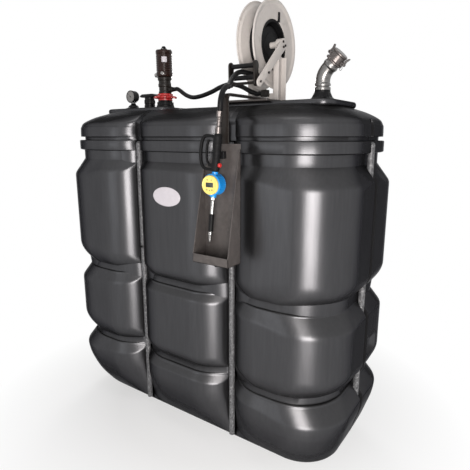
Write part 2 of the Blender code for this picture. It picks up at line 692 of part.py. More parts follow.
def build_reel():
    """Spring hose reel: plate, frame, drum with flanges, spring case and the wound hose."""
    left, right, front, back = PLATE
    bm = bmesh.new()
    add_box(bm, (left, front, PAD_Z + GAP), (right, back, PAD_Z + PLATE_T))
    finish(bm, "reel_plate", tray_paint())
    foot = PAD_Z + PLATE_T + GAP
    build_reel_frame(foot)
    along_x = facing((REEL_FAR_X, REEL_Y, REEL_Z), (1, 0, 0))
    width = REEL_NEAR_X - REEL_FAR_X
    rim = FLANGE_R
    bore = SHAFT_R + 0.001
    profile = [
        (bore, -0.006), (0.050, -0.006), (0.062, -0.001), (rim - 0.020, -0.003),
        (rim - 0.008, -0.010), (rim, -0.006), (rim - 0.004, 0.0),
        (rim - 0.018, REEL_WALL), (DRUM_R, REEL_WALL), (DRUM_R, width - REEL_WALL),
        (rim - 0.018, width - REEL_WALL), (rim - 0.004, width), (rim, width + 0.006),
        (rim - 0.008, width + 0.010), (rim - 0.020, width + 0.003),
        (DRUM_R + 0.004, width + 0.001), (DRUM_R - REEL_WALL, width - 0.003),
        (DRUM_R - REEL_WALL, REEL_WALL), (bore, REEL_WALL),
    ]
    lathe("reel_drum", profile, reel_paint(), along_x, 40, hollow=True)
    coil_low, coil_high = REEL_WALL + 0.004, width - REEL_WALL - 0.004
    coil = [(DRUM_R + GAP, coil_low), (COIL_R - 0.006, coil_low), (COIL_R, coil_low + 0.006),
            (COIL_R, coil_high - 0.006), (COIL_R - 0.006, coil_high), (DRUM_R + GAP, coil_high)]
    lathe("wound_hose", coil, rubber(), along_x, 40, hollow=True)
    case = [(SHAFT_R + GAP, 0.012), (SPRING_CASE_R - 0.008, 0.012), (SPRING_CASE_R, 0.020),
            (SPRING_CASE_R, width - 0.018), (SPRING_CASE_R - 0.008, width - 0.010),
            (SHAFT_R + GAP, width - 0.010)]
    lathe("spring_case", case, black_plastic(), along_x, 24, hollow=True)
    end = inlet_end()
    half = INLET_SIZE / 2
    bm = bmesh.new()
    add_box(bm, (end.x + GAP, end.y - half, end.z - half), (end.x + INLET_SIZE, end.y + half, end.z + half))
    bmesh.ops.bevel(bm, geom=bm.edges[:], offset=0.003, segments=1, affect="EDGES")
    finish(bm, "reel_inlet", black_plastic())


def inlet_end():
    """Where the supply hose meets the left face of the inlet block, in front of the frame."""
    return Vector((INLET_X, REEL_Y - POST[1] / 2 - GAP - INLET_SIZE / 2, INLET_Z))


def build_reel_frame(foot):
    """Pressed steel frame: base channel, a post outside each flange and the fixed shaft."""
    across, along = POST
    near = REEL_NEAR_X + POST_CLEAR
    far = REEL_FAR_X - POST_CLEAR
    low_y, high_y = REEL_Y - along / 2, REEL_Y + along / 2
    post_top = REEL_Z - 0.045
    bm = bmesh.new()
    add_box(bm, (far - across, low_y, foot), (near + across, high_y, foot + SHEET_T))
    frame = finish(bm, "reel_frame", reel_paint())
    boxes = {
        "web_front": ((far - across, low_y, foot), (near + across, low_y + SHEET_T, foot + CHANNEL_H)),
        "web_back": ((far - across, high_y - SHEET_T, foot), (near + across, high_y, foot + CHANNEL_H)),
        "post_far": ((far - across, low_y, foot), (far, high_y, post_top)),
        "post_near": ((near, low_y, foot), (near + across, high_y, post_top)),
        "cheek_far": ((far - SHEET_T, REEL_Y - HUB_R, post_top - 0.02), (far, REEL_Y + HUB_R, REEL_Z)),
        "cheek_near": ((near, REEL_Y - HUB_R, post_top - 0.02), (near + SHEET_T, REEL_Y + HUB_R, REEL_Z)),
    }
    for label, (low, high) in boxes.items():
        bm = bmesh.new()
        add_box(bm, low, high)
        boolean(frame, finish(bm, "join_" + label, reel_paint()), "UNION")
    across_x = facing((0, REEL_Y, REEL_Z), (1, 0, 0))
    rounds = {
        "shaft": (SHAFT_R, far - 0.002, near + 0.002, 20),
        "hub_far": (HUB_R, far - SHEET_T, far, 24),
        "hub_near": (HUB_R, near, near + across, 24),
    }
    for label, (radius, low, high, sides) in rounds.items():
        profile = [(radius, low), (radius, high)]
        boolean(frame, lathe("join_" + label, profile, reel_paint(), across_x, sides), "UNION")


def build_guide():
    """Roller guide: arm from the hub, two end plates on a tie rod, an upper and a lower roller."""
    spacing = ROLLER_GAP / 2 + ROLLER_R
    middle = GUIDE_X
    inner = ROLLER_HALF + 0.002
    pin = inner + GUIDE_T - 0.001
    for name, side in (("roller_upper", 1), ("roller_lower", -1)):
        place = facing((middle, GUIDE_Y, GUIDE_Z + side * spacing), (1, 0, 0))
        profile = [(PIN_R, -pin), (PIN_R, -ROLLER_HALF), (ROLLER_R, -ROLLER_HALF),
                   (ROLLER_R, ROLLER_HALF), (PIN_R, ROLLER_HALF), (PIN_R, pin)]
        lathe(name, profile, black_plastic(), place, 16)
    tie_z = GUIDE_Z - spacing - ROLLER_R - TIE_R - 0.006
    arm_x = REEL_NEAR_X + POST_CLEAR + POST[0] + GAP
    top = (GUIDE_Y, GUIDE_Z + spacing + 0.002)
    outline = link_outline((GUIDE_Y, tie_z), 0.015, top, 0.017)
    bm = bmesh.new()
    add_prism(bm, outline, middle - inner - GUIDE_T, middle - inner, "X")
    frame = finish(bm, "guide_frame", black_plastic())
    bm = bmesh.new()
    add_prism(bm, outline, middle + inner, middle + inner + GUIDE_T, "X")
    boolean(frame, finish(bm, "join_guide_plate", black_plastic()), "UNION")
    rod = [(TIE_R, middle - inner - 0.002), (TIE_R, arm_x - GAP)]
    tie = lathe("join_guide_tie", rod, black_plastic(), facing((0, GUIDE_Y, tie_z), (1, 0, 0)), 12)
    boolean(frame, tie, "UNION")
    for label, side in (("upper", 1), ("lower", -1)):
        place = facing((middle, GUIDE_Y, GUIDE_Z + side * spacing), (1, 0, 0))
        profile = [(PIN_R + 0.0005, -inner - 0.02), (PIN_R + 0.0005, inner + 0.02)]
        boolean(frame, lathe("cutter_pins_" + label, profile, black_plastic(), place, 16), "DIFFERENCE")
    bm = bmesh.new()
    outline = link_outline((REEL_Y, REEL_Z), HUB_R, (GUIDE_Y, tie_z), 0.018)
    add_prism(bm, outline, arm_x, arm_x + 0.005, "X")
    finish(bm, "guide_arm", reel_paint())


def build_tray():
    """Arm from the reel's plate, bent down, with the sheet drip tray on its end."""
    foot = PAD_Z + PLATE_T + GAP
    post_front = TRAY_Y + TRAY_T + GAP
    post_back = post_front + ARM_T
    bend = 0.012
    outer = [(post_front, foot + ARM_T - bend), (post_front + bend, foot + ARM_T)]
    outline = [(post_front, TRAY_TOP_Z - 0.090)] + outer
    outline += [(PLATE[2] + 0.075, foot + ARM_T), (PLATE[2] + 0.075, foot),
                (post_back + bend, foot), (post_back, foot - bend), (post_back, TRAY_TOP_Z - 0.090)]
    bm = bmesh.new()
    add_prism(bm, outline, ARM_X - ARM_WIDTH / 2, ARM_X + ARM_WIDTH / 2, "X")
    finish(bm, "tray_arm", tray_paint())
    front = TRAY_Y - TRAY_DEEP
    back = TRAY_Y + TRAY_T
    shoulder_x, shoulder_z = TRAY_RIGHT_X - 0.086, TRAY_TOP_Z - 0.095
    bm = bmesh.new()
    plate = [(TRAY_LEFT_X, TRAY_FOOT_Z), (TRAY_RIGHT_X, TRAY_FOOT_Z), (TRAY_RIGHT_X, TRAY_TOP_Z),
             (shoulder_x, TRAY_TOP_Z), (TRAY_LEFT_X, shoulder_z)]
    add_prism(bm, plate, TRAY_Y, back, "Y")
    tray = finish(bm, "drip_tray", tray_paint())
    lip_z = TRAY_FOOT_Z + TRAY_LIP
    sides = {
        "left": (TRAY_LEFT_X, TRAY_LEFT_X + TRAY_T, shoulder_z),
        "right": (TRAY_RIGHT_X - TRAY_T, TRAY_RIGHT_X, TRAY_TOP_Z - 0.020),
    }
    for label, (low, high, top) in sides.items():
        flange = [(back, TRAY_FOOT_Z), (back, top), (TRAY_Y - 0.006, top), (front, lip_z),
                  (front, TRAY_FOOT_Z)]
        bm = bmesh.new()
        add_prism(bm, flange, low, high, "X")
        boolean(tray, finish(bm, "join_flange_" + label, tray_paint()), "UNION")
    boxes = {
        "floor": ((TRAY_LEFT_X, front, TRAY_FOOT_Z), (TRAY_RIGHT_X, back, TRAY_FOOT_Z + TRAY_T)),
        "lip": ((TRAY_LEFT_X, front, TRAY_FOOT_Z), (TRAY_RIGHT_X, front + TRAY_T, lip_z)),
    }
    for label, (low, high) in boxes.items():
        bm = bmesh.new()
        add_box(bm, low, high)
        boolean(tray, finish(bm, "join_" + label, tray_paint()), "UNION")
    middle = (TRAY_LEFT_X + TRAY_RIGHT_X) / 2
    drain = [(0.006, 0), (0.009, 0.003), (0.009, 0.012), (0.012, 0.013), (0.012, 0.016)]
    place = at(middle, TRAY_Y - TRAY_DEEP / 2, TRAY_FOOT_Z - 0.016 - GAP)
    lathe("tray_drain", drain, black_plastic(), place, 12)


def gun_frame():
    """Gun axes at its top: x towards the trigger, y towards the tray, z down the barrel."""
    down = GUN_DOWN
    side = Vector((-1, 0, 0))
    side = (side - down * side.dot(down)).normalized()
    back = down.cross(side)
    return Matrix.Translation(GUN_TOP) @ Matrix((side, back, down)).transposed().to_4x4()


def strip_outline(path, width):
    """A band of a width along a path of pairs, as one closed outline."""
    left, right = [], []
    for i, point in enumerate(path):
        before = path[max(i - 1, 0)]
        after = path[min(i + 1, len(path) - 1)]
        run = (Vector(after) - Vector(before)).normalized()
        normal = Vector((-run.y, run.x)) * width / 2
        left.append(tuple(Vector(point) + normal))
        right.append(tuple(Vector(point) - normal))
    return left + right[::-1]


def curved_path(points, spacing):
    flat = smooth_route([Vector((u, v, 0)) for u, v in points], spacing)
    return [(spot.x, spot.y) for spot in flat]


def on_handle(path):
    """A path of pairs with its second numbers turned from shares into distances."""
    return [(out, along_handle(share)) for out, share in path]


def build_gun():
    """Metering gun: swivel, handle with guard, trigger, meter, wand, sleeve and tip."""
    frame = gun_frame()
    swivel = [(0.0075, 0), (0.0110, 0.002), (0.0110, 0.022), (0.0085, 0.026), (0.0075, 0.044),
              (0.0075, 0.058), (0.0120, 0.060), (0.0120, GUN_GRIP - GAP)]
    lathe("gun_swivel", swivel, polished(), frame @ at(0, 0, 0), 16)
    grip = [(0.0120, 0.0), (0.0165, 0.071), (0.0170, 0.289), (0.0150, 0.713),
            (0.0150, 0.974), (0.0115, 1.0)]
    grip = [(radius, along_handle(share)) for radius, share in grip]
    body = lathe("gun_body", grip, black_plastic(), frame, 20)
    guard = curved_path(on_handle([(0.008, 0.085), (0.052, 0.064), (0.071, 0.169), (0.077, 0.466),
                                   (0.071, 0.790), (0.052, 0.939), (0.010, 0.953)]), 0.012)
    bm = bmesh.new()
    add_prism(bm, strip_outline(guard, 0.007), -0.005, 0.005, "Y")
    boolean(body, finish(bm, "join_guard", black_plastic(), frame), "UNION")
    pivot_u, pivot_w = TRIGGER_PIVOT
    for label, low in (("front", -0.0095), ("back", 0.0060)):
        bm = bmesh.new()
        ear = [(0.008, pivot_w - 0.008), (pivot_u + 0.001, pivot_w - 0.006), (pivot_u + 0.006, pivot_w),
               (pivot_u + 0.001, pivot_w + 0.006), (0.008, pivot_w + 0.008)]
        add_prism(bm, ear, low, low + 0.0035, "Y")
        boolean(body, finish(bm, "join_trigger_ear_" + label, black_plastic(), frame), "UNION")
    across = frame @ at(pivot_u, 0, pivot_w) @ Matrix.Rotation(math.pi / 2, 4, "X")
    bore = lathe("cutter_trigger_pin", [(0.0025, -0.02), (0.0025, 0.02)], black_plastic(), across, 12)
    boolean(body, bore, "DIFFERENCE")
    slot = bmesh.new()
    add_box(slot, (0.010, -0.0058, pivot_w - 0.012), (0.050, 0.0058, pivot_w + 0.0085))
    boolean(body, finish(slot, "cutter_trigger_slot", black_plastic(), frame), "DIFFERENCE")
    pivot = frame @ at(pivot_u, 0, pivot_w)
    blade = on_handle([(pivot_u, 0.84), (0.040, 0.762), (0.047, 0.572), (0.047, 0.325), (0.041, 0.169)])
    lever = [(u - pivot_u, w - pivot_w) for u, w in curved_path(blade, 0.012)]
    bm = bmesh.new()
    add_prism(bm, strip_outline(lever, 0.0065), -0.0048, 0.0048, "Y")
    trigger = finish(bm, "trigger", black_plastic(), pivot)
    pin = lathe("join_trigger_pin", [(0.0020, -0.0095), (0.0020, 0.0095)], black_plastic(), across, 12)
    boolean(trigger, pin, "UNION")
    eye = lathe("join_trigger_eye", [(0.0042, -0.0048), (0.0042, 0.0048)], black_plastic(), across, 16)
    boolean(trigger, eye, "UNION")
    red = material("red_plastic", (0.42, 0.020, 0.018), 0.42)
    button = rounded_profile(0.0085, 0, 0.009, 0.002)
    place = frame @ at(-0.0150 - GAP, 0, along_handle(0.82)) @ facing((0, 0, 0), (-1, 0, 0))
    lathe("gun_button", button, red, place, 16)
    build_meter(frame)
    wand_z = METER_W + METER_BOSS + GAP
    wand = [(0.0115, wand_z), (0.0115, wand_z + 0.010), (0.0085, wand_z + 0.014), (0.0085, SLEEVE_W - GAP)]
    lathe("wand", wand, polished(), frame, 16)
    sleeve = rounded_profile(0.0105, SLEEVE_W, TIP_W - GAP, 0.002)
    lathe("wand_sleeve", sleeve, rubber(), frame, 16)
    tip = [(0.0090, TIP_W), (0.0090, TIP_W + 0.012), (0.0070, TIP_W + 0.018), (0.0045, GUN_LENGTH)]
    lathe("wand_tip", tip, polished(), frame, 16)
    build_rest(frame)


def build_meter(frame):
    """Round meter body with an inlet and an outlet boss, and the display cover in front."""
    blue = material("meter_blue", (0.010, 0.160, 0.520), 0.40)
    yellow = material("meter_yellow", (0.720, 0.560, 0.160), 0.45)
    centre = frame @ Vector((0, 0, METER_W))
    front = facing(centre, (0, -1, 0))
    half = METER_DEEP / 2
    shell = [(METER_R - 0.012, -half), (METER_R - 0.003, -half + 0.010), (METER_R - 0.001, half - 0.016),
             (METER_R - 0.001, half - 0.012)]
    body = lathe("meter_body", shell, blue, front, 24)
    boss = [(0.0125, METER_W - METER_BOSS), (0.0125, METER_W + METER_BOSS)]
    boolean(body, lathe("join_meter_boss", boss, blue, frame, 16), "UNION")
    cover = [(METER_R, half - 0.012 + GAP), (METER_R, half - 0.004), (METER_R - 0.003, half),
             (METER_R - 0.006, half), (METER_R - 0.008, half - 0.003)]
    lathe("meter_cover", cover, yellow, front, 24)


def build_rest(frame):
    """Saddle on the tray's back plate that the gun's handle leans against."""
    low, high = along_handle(0.466), along_handle(0.663)
    plate = TRAY_Y - GAP
    middle = frame @ Vector((0, 0, (low + high) / 2))
    radius = 0.0175
    bm = bmesh.new()
    add_box(bm, (middle.x - 0.018, middle.y + 0.008, middle.z - 0.014),
            (middle.x + 0.018, plate, middle.z + 0.014))
    rest = finish(bm, "gun_rest", black_plastic())
    profile = [(radius, low - 0.04), (radius, high + 0.04)]
    boolean(rest, lathe("cutter_rest", profile, black_plastic(), frame, 24), "DIFFERENCE")


def smooth_route(points, spacing):
    """Catmull-Rom curve through the points, read off at about equal spacing."""
    dense = []
    padded = [2 * points[0] - points[1]] + points + [2 * points[-1] - points[-2]]
    for a, b, c, d in zip(padded, padded[1:], padded[2:], padded[3:]):
        for i in range(24):
            t = i / 24
            dense.append(0.5 * (2 * b + (c - a) * t + (2 * a - 5 * b + 4 * c - d) * t * t
                                + (3 * b - a - 3 * c + d) * t ** 3))
    dense.append(points[-1])
    lengths = [0.0]
    for p, q in zip(dense, dense[1:]):
        lengths.append(lengths[-1] + (q - p).length)
    count = max(2, round(lengths[-1] / spacing))
    route, cursor = [], 0
    for i in range(count + 1):
        want = lengths[-1] * i / count
        while cursor < len(dense) - 2 and lengths[cursor + 1] < want:
            cursor += 1
        span = lengths[cursor + 1] - lengths[cursor]
        route.append(dense[cursor].lerp(dense[cursor + 1], (want - lengths[cursor]) / span))
    return route


def hose(name, points, radius):
    """A plain tube along a smooth curve through the points."""
    route = smooth_route(points, radius * 1.4)
    curve = bpy.data.curves.new(name, "CURVE")
    curve.dimensions = "3D"
    curve.bevel_depth = radius
    curve.bevel_resolution = 2
    curve.use_fill_caps = True
    spline = curve.splines.new("POLY")
    spline.points.add(len(route) - 1)
    for point, spot in zip(spline.points, route):
        point.co = (*spot, 1.0)
    curve.materials.append(rubber())
    made = bpy.data.objects.new(name, curve)
    bpy.context.scene.collection.objects.link(made)
    return made


def delivery_points():
    """Route of the hose from the coil's underside through the rollers to the gun's swivel."""
    reach = TRAY_Y - GUIDE_Y
    points = [
        Vector((REEL_X, REEL_Y, REEL_Z - COIL_R - HOSE_R - GAP)),
        Vector((REEL_X, GUIDE_Y + 0.080, GUIDE_Z)),
        Vector((REEL_X, GUIDE_Y, GUIDE_Z)),
    ]
    for x, share, z in DELIVERY_ROUTE:
        points.append(Vector((REEL_X + x, GUIDE_Y + reach * share, PAD_Z + z)))
    return points + [GUN_TOP - GUN_DOWN * run for run in (HOSE_STRAIGHT, HOSE_STRAIGHT / 2, GAP)]


def supply_points(outlet):
    """Route of the hose from the pump's outlet to the reel's inlet block."""
    end = inlet_end()
    half = Vector((HOSE_STRAIGHT / 2, 0, 0))
    points = [outlet, outlet + half, outlet + 2 * half]
    for share, y, z in SUPPLY_ROUTE:
        points.append(Vector((outlet.x + (end.x - outlet.x) * share, y, PAD_Z + z)))
    return points + [end - 2 * half, end - half, end]


def main():
    for old in list(bpy.data.objects):
        bpy.data.objects.remove(old, do_unlink=True)
    build_shell()
    build_roof()
    build_tubes()
    outlet = build_pump()
    build_vent()
    build_gauge()
    build_filler()
    build_reel()
    build_guide()
    build_tray()
    build_gun()
    hose("delivery_hose", delivery_points(), HOSE_R)
    hose("supply_hose", supply_points(outlet), HOSE_R)


main()
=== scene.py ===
"""Oil storage tank with a pump, a hose reel, a metering gun and a drip tray, dressed for rendering.

Every piece is a surface worked out as whole numpy arrays: a profile turned round an axis, a
section carried along a path, or an outline raised between two faces.  Metres, +Z up.
"""

import math

import bpy
import numpy as np
from mathutils import Matrix, Vector


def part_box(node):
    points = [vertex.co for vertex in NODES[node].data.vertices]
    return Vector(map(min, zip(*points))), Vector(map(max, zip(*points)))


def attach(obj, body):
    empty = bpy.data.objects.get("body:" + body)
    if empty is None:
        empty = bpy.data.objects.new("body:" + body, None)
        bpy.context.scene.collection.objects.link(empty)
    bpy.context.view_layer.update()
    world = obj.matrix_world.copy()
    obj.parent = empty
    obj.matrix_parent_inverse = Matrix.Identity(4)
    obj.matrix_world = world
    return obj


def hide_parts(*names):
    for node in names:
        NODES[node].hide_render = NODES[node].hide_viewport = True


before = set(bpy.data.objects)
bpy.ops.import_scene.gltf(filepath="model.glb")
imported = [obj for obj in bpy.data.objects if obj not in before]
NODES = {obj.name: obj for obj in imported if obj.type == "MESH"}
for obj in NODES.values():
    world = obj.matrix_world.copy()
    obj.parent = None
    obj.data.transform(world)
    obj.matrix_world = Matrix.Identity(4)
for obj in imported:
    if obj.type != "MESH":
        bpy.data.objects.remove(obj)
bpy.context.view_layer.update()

# places and sizes, as in the part's source
GAP = .0003
PAD_Z = 1.597
FOOT = PAD_Z + GAP
CROWN_Z = 1.582
HALF_X = .815
HALF_Y = .37
RIB_X = .28
GROOVE_IN = .112
END_GROOVE_IN = .045
GROOVE_HALF = .0175
REACH_FRONT = .165
REACH_END = .00002
PUMP_X, VENT_X, GAUGE_X, FILLER_X = -.35, -.468, -.6, .559
REEL_X, REEL_Y, REEL_Z = .255, .05, 1.858
REEL_HALF = .03
DRUM_R = .105
HOSE_R = .0105
GUIDE_X, GUIDE_Y, GUIDE_Z = .2585, -.155, 1.722
TRAY_Y, TRAY_TOP = -.42, 1.424
BUNG_HIGH, NUT_HIGH, BARREL_HIGH, RING_HIGH = .043, .034, .085, .019
PLATE_THICK = .008
FRAME_OUT, FRAME_SPREAD, FRAME_HALF = .024, .028, .0365
INLET_HALF = .015
BARREL_R, OUTLET_LONG = .037, .022
TUBE_R = .014
NUT_Z = FOOT + BUNG_HIGH + GAP
BARREL_Z = NUT_Z + NUT_HIGH + GAP
OUTLET_Z = BARREL_Z + .02
GUN_TOP = np.array([.352, -.45, 1.545])
GUN_DOWN = np.array([-.03, -.032, -.5])
GUN_DOWN = GUN_DOWN / np.linalg.norm(GUN_DOWN)
HOSE_STRAIGHT = .03
GRIP_W, METER_W, HANDLE_END, SLEEVE_W, TIP_W, GUN_LENGTH = .084, .275, .2257, .39, .46, .502


# ---- surfaces
def unit(v):
    return v / np.linalg.norm(v, axis=-1, keepdims=True)


def lattice(rows, cols, wrap_rows=False):
    """Quads of a grid numbered row by row: each joins a point, its neighbour and the two above."""
    r = np.arange(rows if wrap_rows else rows - 1)[:, None]
    c = np.arange(cols)[None, :]
    r2, c2 = (r + 1) % rows, (c + 1) % cols
    ring = [r * cols + c, r * cols + c2, r2 * cols + c2, r2 * cols + c]
    return np.stack(np.broadcast_arrays(*ring), -1).reshape(-1, 4)


def moved(points, place):
    """Points turned by the matrix's 3x3 part and shifted by its last column."""
    if place is None:
        return points
    m = np.array(place)
    return points @ m[:3, :3].T + m[:3, 3]


def new_object(name, data):
    made = bpy.data.objects.new(name, data)
    bpy.context.scene.collection.objects.link(made)
    return made


class Shape:
    """Points and faces of one piece, gathered from closed surfaces."""

    def __init__(self):
        self.points, self.faces, self.count = [], [], 0

    def closed(self, points, faces):
        """Keep a closed surface; where the sum of its corner volumes is negative, turn it round."""
        points = np.asarray(points, float).reshape(-1, 3)
        volume = 0.0
        for face in faces:
            fan = points[face]
            for i in range(1, face.shape[1] - 1):
                volume += np.sum(fan[:, 0] * np.cross(fan[:, i], fan[:, i + 1]))
        for face in faces:
            self.faces.append((face if volume > 0 else face[:, ::-1]) + self.count)
        self.points.append(points)
        self.count += len(points)
        return self

    def grid(self, surface, wrap_rows=False, place=None):
        """A grid of rows x columns, joined round its columns and capped or joined at its ends."""
        surface = moved(np.asarray(surface, float), place)
        rows, cols = surface.shape[:2]
        faces = [lattice(rows, cols, wrap_rows)]
        if not wrap_rows:
            ring = np.arange(cols)
            faces += [ring[None, ::-1], (ring + (rows - 1) * cols)[None]]
        return self.closed(surface, faces)

    def piece(self, name, finish, node=None, body="tank", angle=32.0, slot=None):
        """Make the object, smooth except at edges sharper than the angle; it may replace a node."""
        points = np.concatenate(self.points)
        loops = np.concatenate([f.ravel() for f in self.faces])
        sizes = np.concatenate([np.full(len(f), f.shape[1]) for f in self.faces])
        mesh = bpy.data.meshes.new(name)
        mesh.vertices.add(len(points))
        mesh.vertices.foreach_set("co", points.astype(np.float32).ravel())
        mesh.loops.add(len(loops))
        mesh.loops.foreach_set("vertex_index", loops.astype(np.int32))
        mesh.polygons.add(len(sizes))
        mesh.polygons.foreach_set("loop_start", np.concatenate([[0], np.cumsum(sizes)[:-1]]).astype(np.int32))
        mesh.update(calc_edges=True)
        mesh.validate()
        mesh.materials.append(finish)
        mesh.shade_smooth()
        mesh.set_sharp_from_angle(angle=math.radians(angle))
        made = new_object(name, mesh)
        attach(made, body)
        if node:
            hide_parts(node)
        return made


def rounded(profile, size=.001, loop=False, steps=5):
    """Each corner P becomes the curve (1-t)^2 A + 2t(1-t) P + t^2 B, with A and B `size` from P."""
    p = np.asarray(profile, float)
    before, after = np.roll(p, 1, 0), np.roll(p, -1, 0)
    back = np.linalg.norm(before - p, axis=1, keepdims=True)
    ahead = np.linalg.norm(after - p, axis=1, keepdims=True)
    cut = np.minimum(size, .45 * np.minimum(back, ahead))
    start, end = p + (before - p) / back * cut, p + (after - p) / ahead * cut
    t = np.linspace(0, 1, steps)[None, :, None]
    curve = (1 - t) ** 2 * start[:, None] + 2 * t * (1 - t) * p[:, None] + t ** 2 * end[:, None]
    if loop:
        return curve.reshape(-1, p.shape[1])
    return np.concatenate([p[:1], curve[1:-1].reshape(-1, p.shape[1]), p[-1:]])


def turned(profile, edge=.001, count=48, loop=False, wave=None):
    """Radius and height of a profile carried round local Z; wave changes the radius by angle."""
    p = rounded(profile, edge, loop)
    turn = full_turn(count)[None, :]
    r, h = p[:, :1], p[:, 1:2]
    if wave is not None:
        r = wave(r + 0 * turn, h + 0 * turn, turn)
    return np.stack([r * np.cos(turn), r * np.sin(turn), h + 0 * turn], -1)


def notched(depth, count, share, low=-1.0, high=1.0, inner=0.0, outer=1.0):
    """Wave that cuts `count` notches of one depth, where cos(count t) > share, between two heights
    and two radii."""
    return lambda r, h, t: r - ((h > low) * (h < high) * (r > inner) * (r < outer)
                                * (np.cos(count * t) > share) * depth)


def turned_piece(name, finish, node, profile, edge, count, place=None, ring=False, wave=None, **more):
    """One piece turned round local Z; a ring's profile closes on itself and leaves a hole."""
    surface = turned(profile, edge, count, ring, wave)
    return Shape().grid(surface, ring, place).piece(name, finish, node, **more)


def carried(path, section, across):
    """A section's pairs laid along (tangent x across) and square to it, at each path point."""
    path = np.asarray(path, float)
    along = unit(np.gradient(path, axis=0))
    side = unit(np.cross(along, np.asarray(across, float)))
    up = np.cross(side, along)
    section = np.asarray(section, float)
    return path[:, None] + section[..., :1] * side[:, None] + section[..., 1:2] * up[:, None]


def full_turn(count):
    return np.linspace(0, 2 * np.pi, count, endpoint=False)


def polar(radius, turn):
    return np.stack([radius * np.cos(turn), radius * np.sin(turn)], -1)


def circle(radius, count=20):
    return polar(1, full_turn(count)) * np.asarray(radius)[..., None, None]


def slab(outline, low, high, edge=.001, axis="Z"):
    """Outline between two faces: at an edge it draws in by e(1-sin a) and climbs e(1-cos a)."""
    p = np.asarray(outline, float)
    run = unit(np.roll(p, -1, 0) - np.roll(p, 1, 0))
    normal = np.stack([run[:, 1], -run[:, 0]], -1)
    if np.sum(p[:, 0] * np.roll(p[:, 1], -1) - p[:, 1] * np.roll(p[:, 0], -1)) < 0:
        normal = -normal
    a = np.linspace(0, np.pi / 2, 4)
    draw, climb = edge * (1 - np.sin(a)), edge * (1 - np.cos(a))
    draw = np.concatenate([draw, draw[::-1]])
    level = np.concatenate([low + climb, high - climb[::-1]])
    flat = p[None] - normal[None] * draw[:, None, None]
    level = np.broadcast_to(level[:, None, None], flat[..., :1].shape)
    parts = {"Z": (flat, level), "X": (level, flat)}
    if axis in parts:
        return np.concatenate(parts[axis], -1)
    return np.stack([flat[..., 0], level[..., 0], flat[..., 1]], -1)


def panel(low, high, corner, steps=5):
    """Outline of a rectangle between two corners, each of its corners rounded over."""
    return rounded([low, (high[0], low[1]), high, (low[0], high[1])], corner, True, steps)


def block(low, high, edge=.002, corner=.002, axis="Z"):
    """A box between two corners whose outline and faces are rounded over."""
    i = "XYZ".index(axis)
    flat = [[c[k] for k in range(3) if k != i] for c in (low, high)]
    return slab(panel(*flat, corner), low[i], high[i], edge, axis)


def facing(place, direction):
    """Matrix at a place whose local Z points along a direction."""
    turn = Vector((0, 0, 1)).rotation_difference(Vector(direction).normalized())
    return Matrix.Translation(Vector(place)) @ turn.to_matrix().to_4x4()


def at(x, y, z):
    return Matrix.Translation((x, y, z))


def smooth_route(points, spacing):
    """Curve with tangents (next - last) / 2 through the points, read off at about equal spacing."""
    p = np.asarray(points, float)
    p = np.concatenate([[2 * p[0] - p[1]], p, [2 * p[-1] - p[-2]]])
    t = (np.arange(24) / 24)[None, :, None]
    a, b, c, d = (q[:, None] for q in (p[:-3], p[1:-2], p[2:-1], p[3:]))
    dense = .5 * (2 * b + (c - a) * t + (2 * a - 5 * b + 4 * c - d) * t ** 2
                   + (3 * b - a - 3 * c + d) * t ** 3)
    dense = np.concatenate([dense.reshape(-1, p.shape[1]), p[-2:-1]])
    run = np.concatenate([[0], np.cumsum(np.linalg.norm(np.diff(dense, axis=0), axis=1))])
    want = np.linspace(0, run[-1], max(2, round(run[-1] / spacing)) + 1)
    return np.stack([np.interp(want, run, dense[:, k]) for k in range(p.shape[1])], -1)


def add_node(tree, kind, operation=None, **values):
    """A shader node with its inputs set; an input's name may stand with _ for its spaces."""
    made = tree.nodes.new("ShaderNode" + kind)
    if operation:
        made.operation = operation
    for key, value in values.items():
        made.inputs[key.replace("_", " ")].default_value = value
    return made


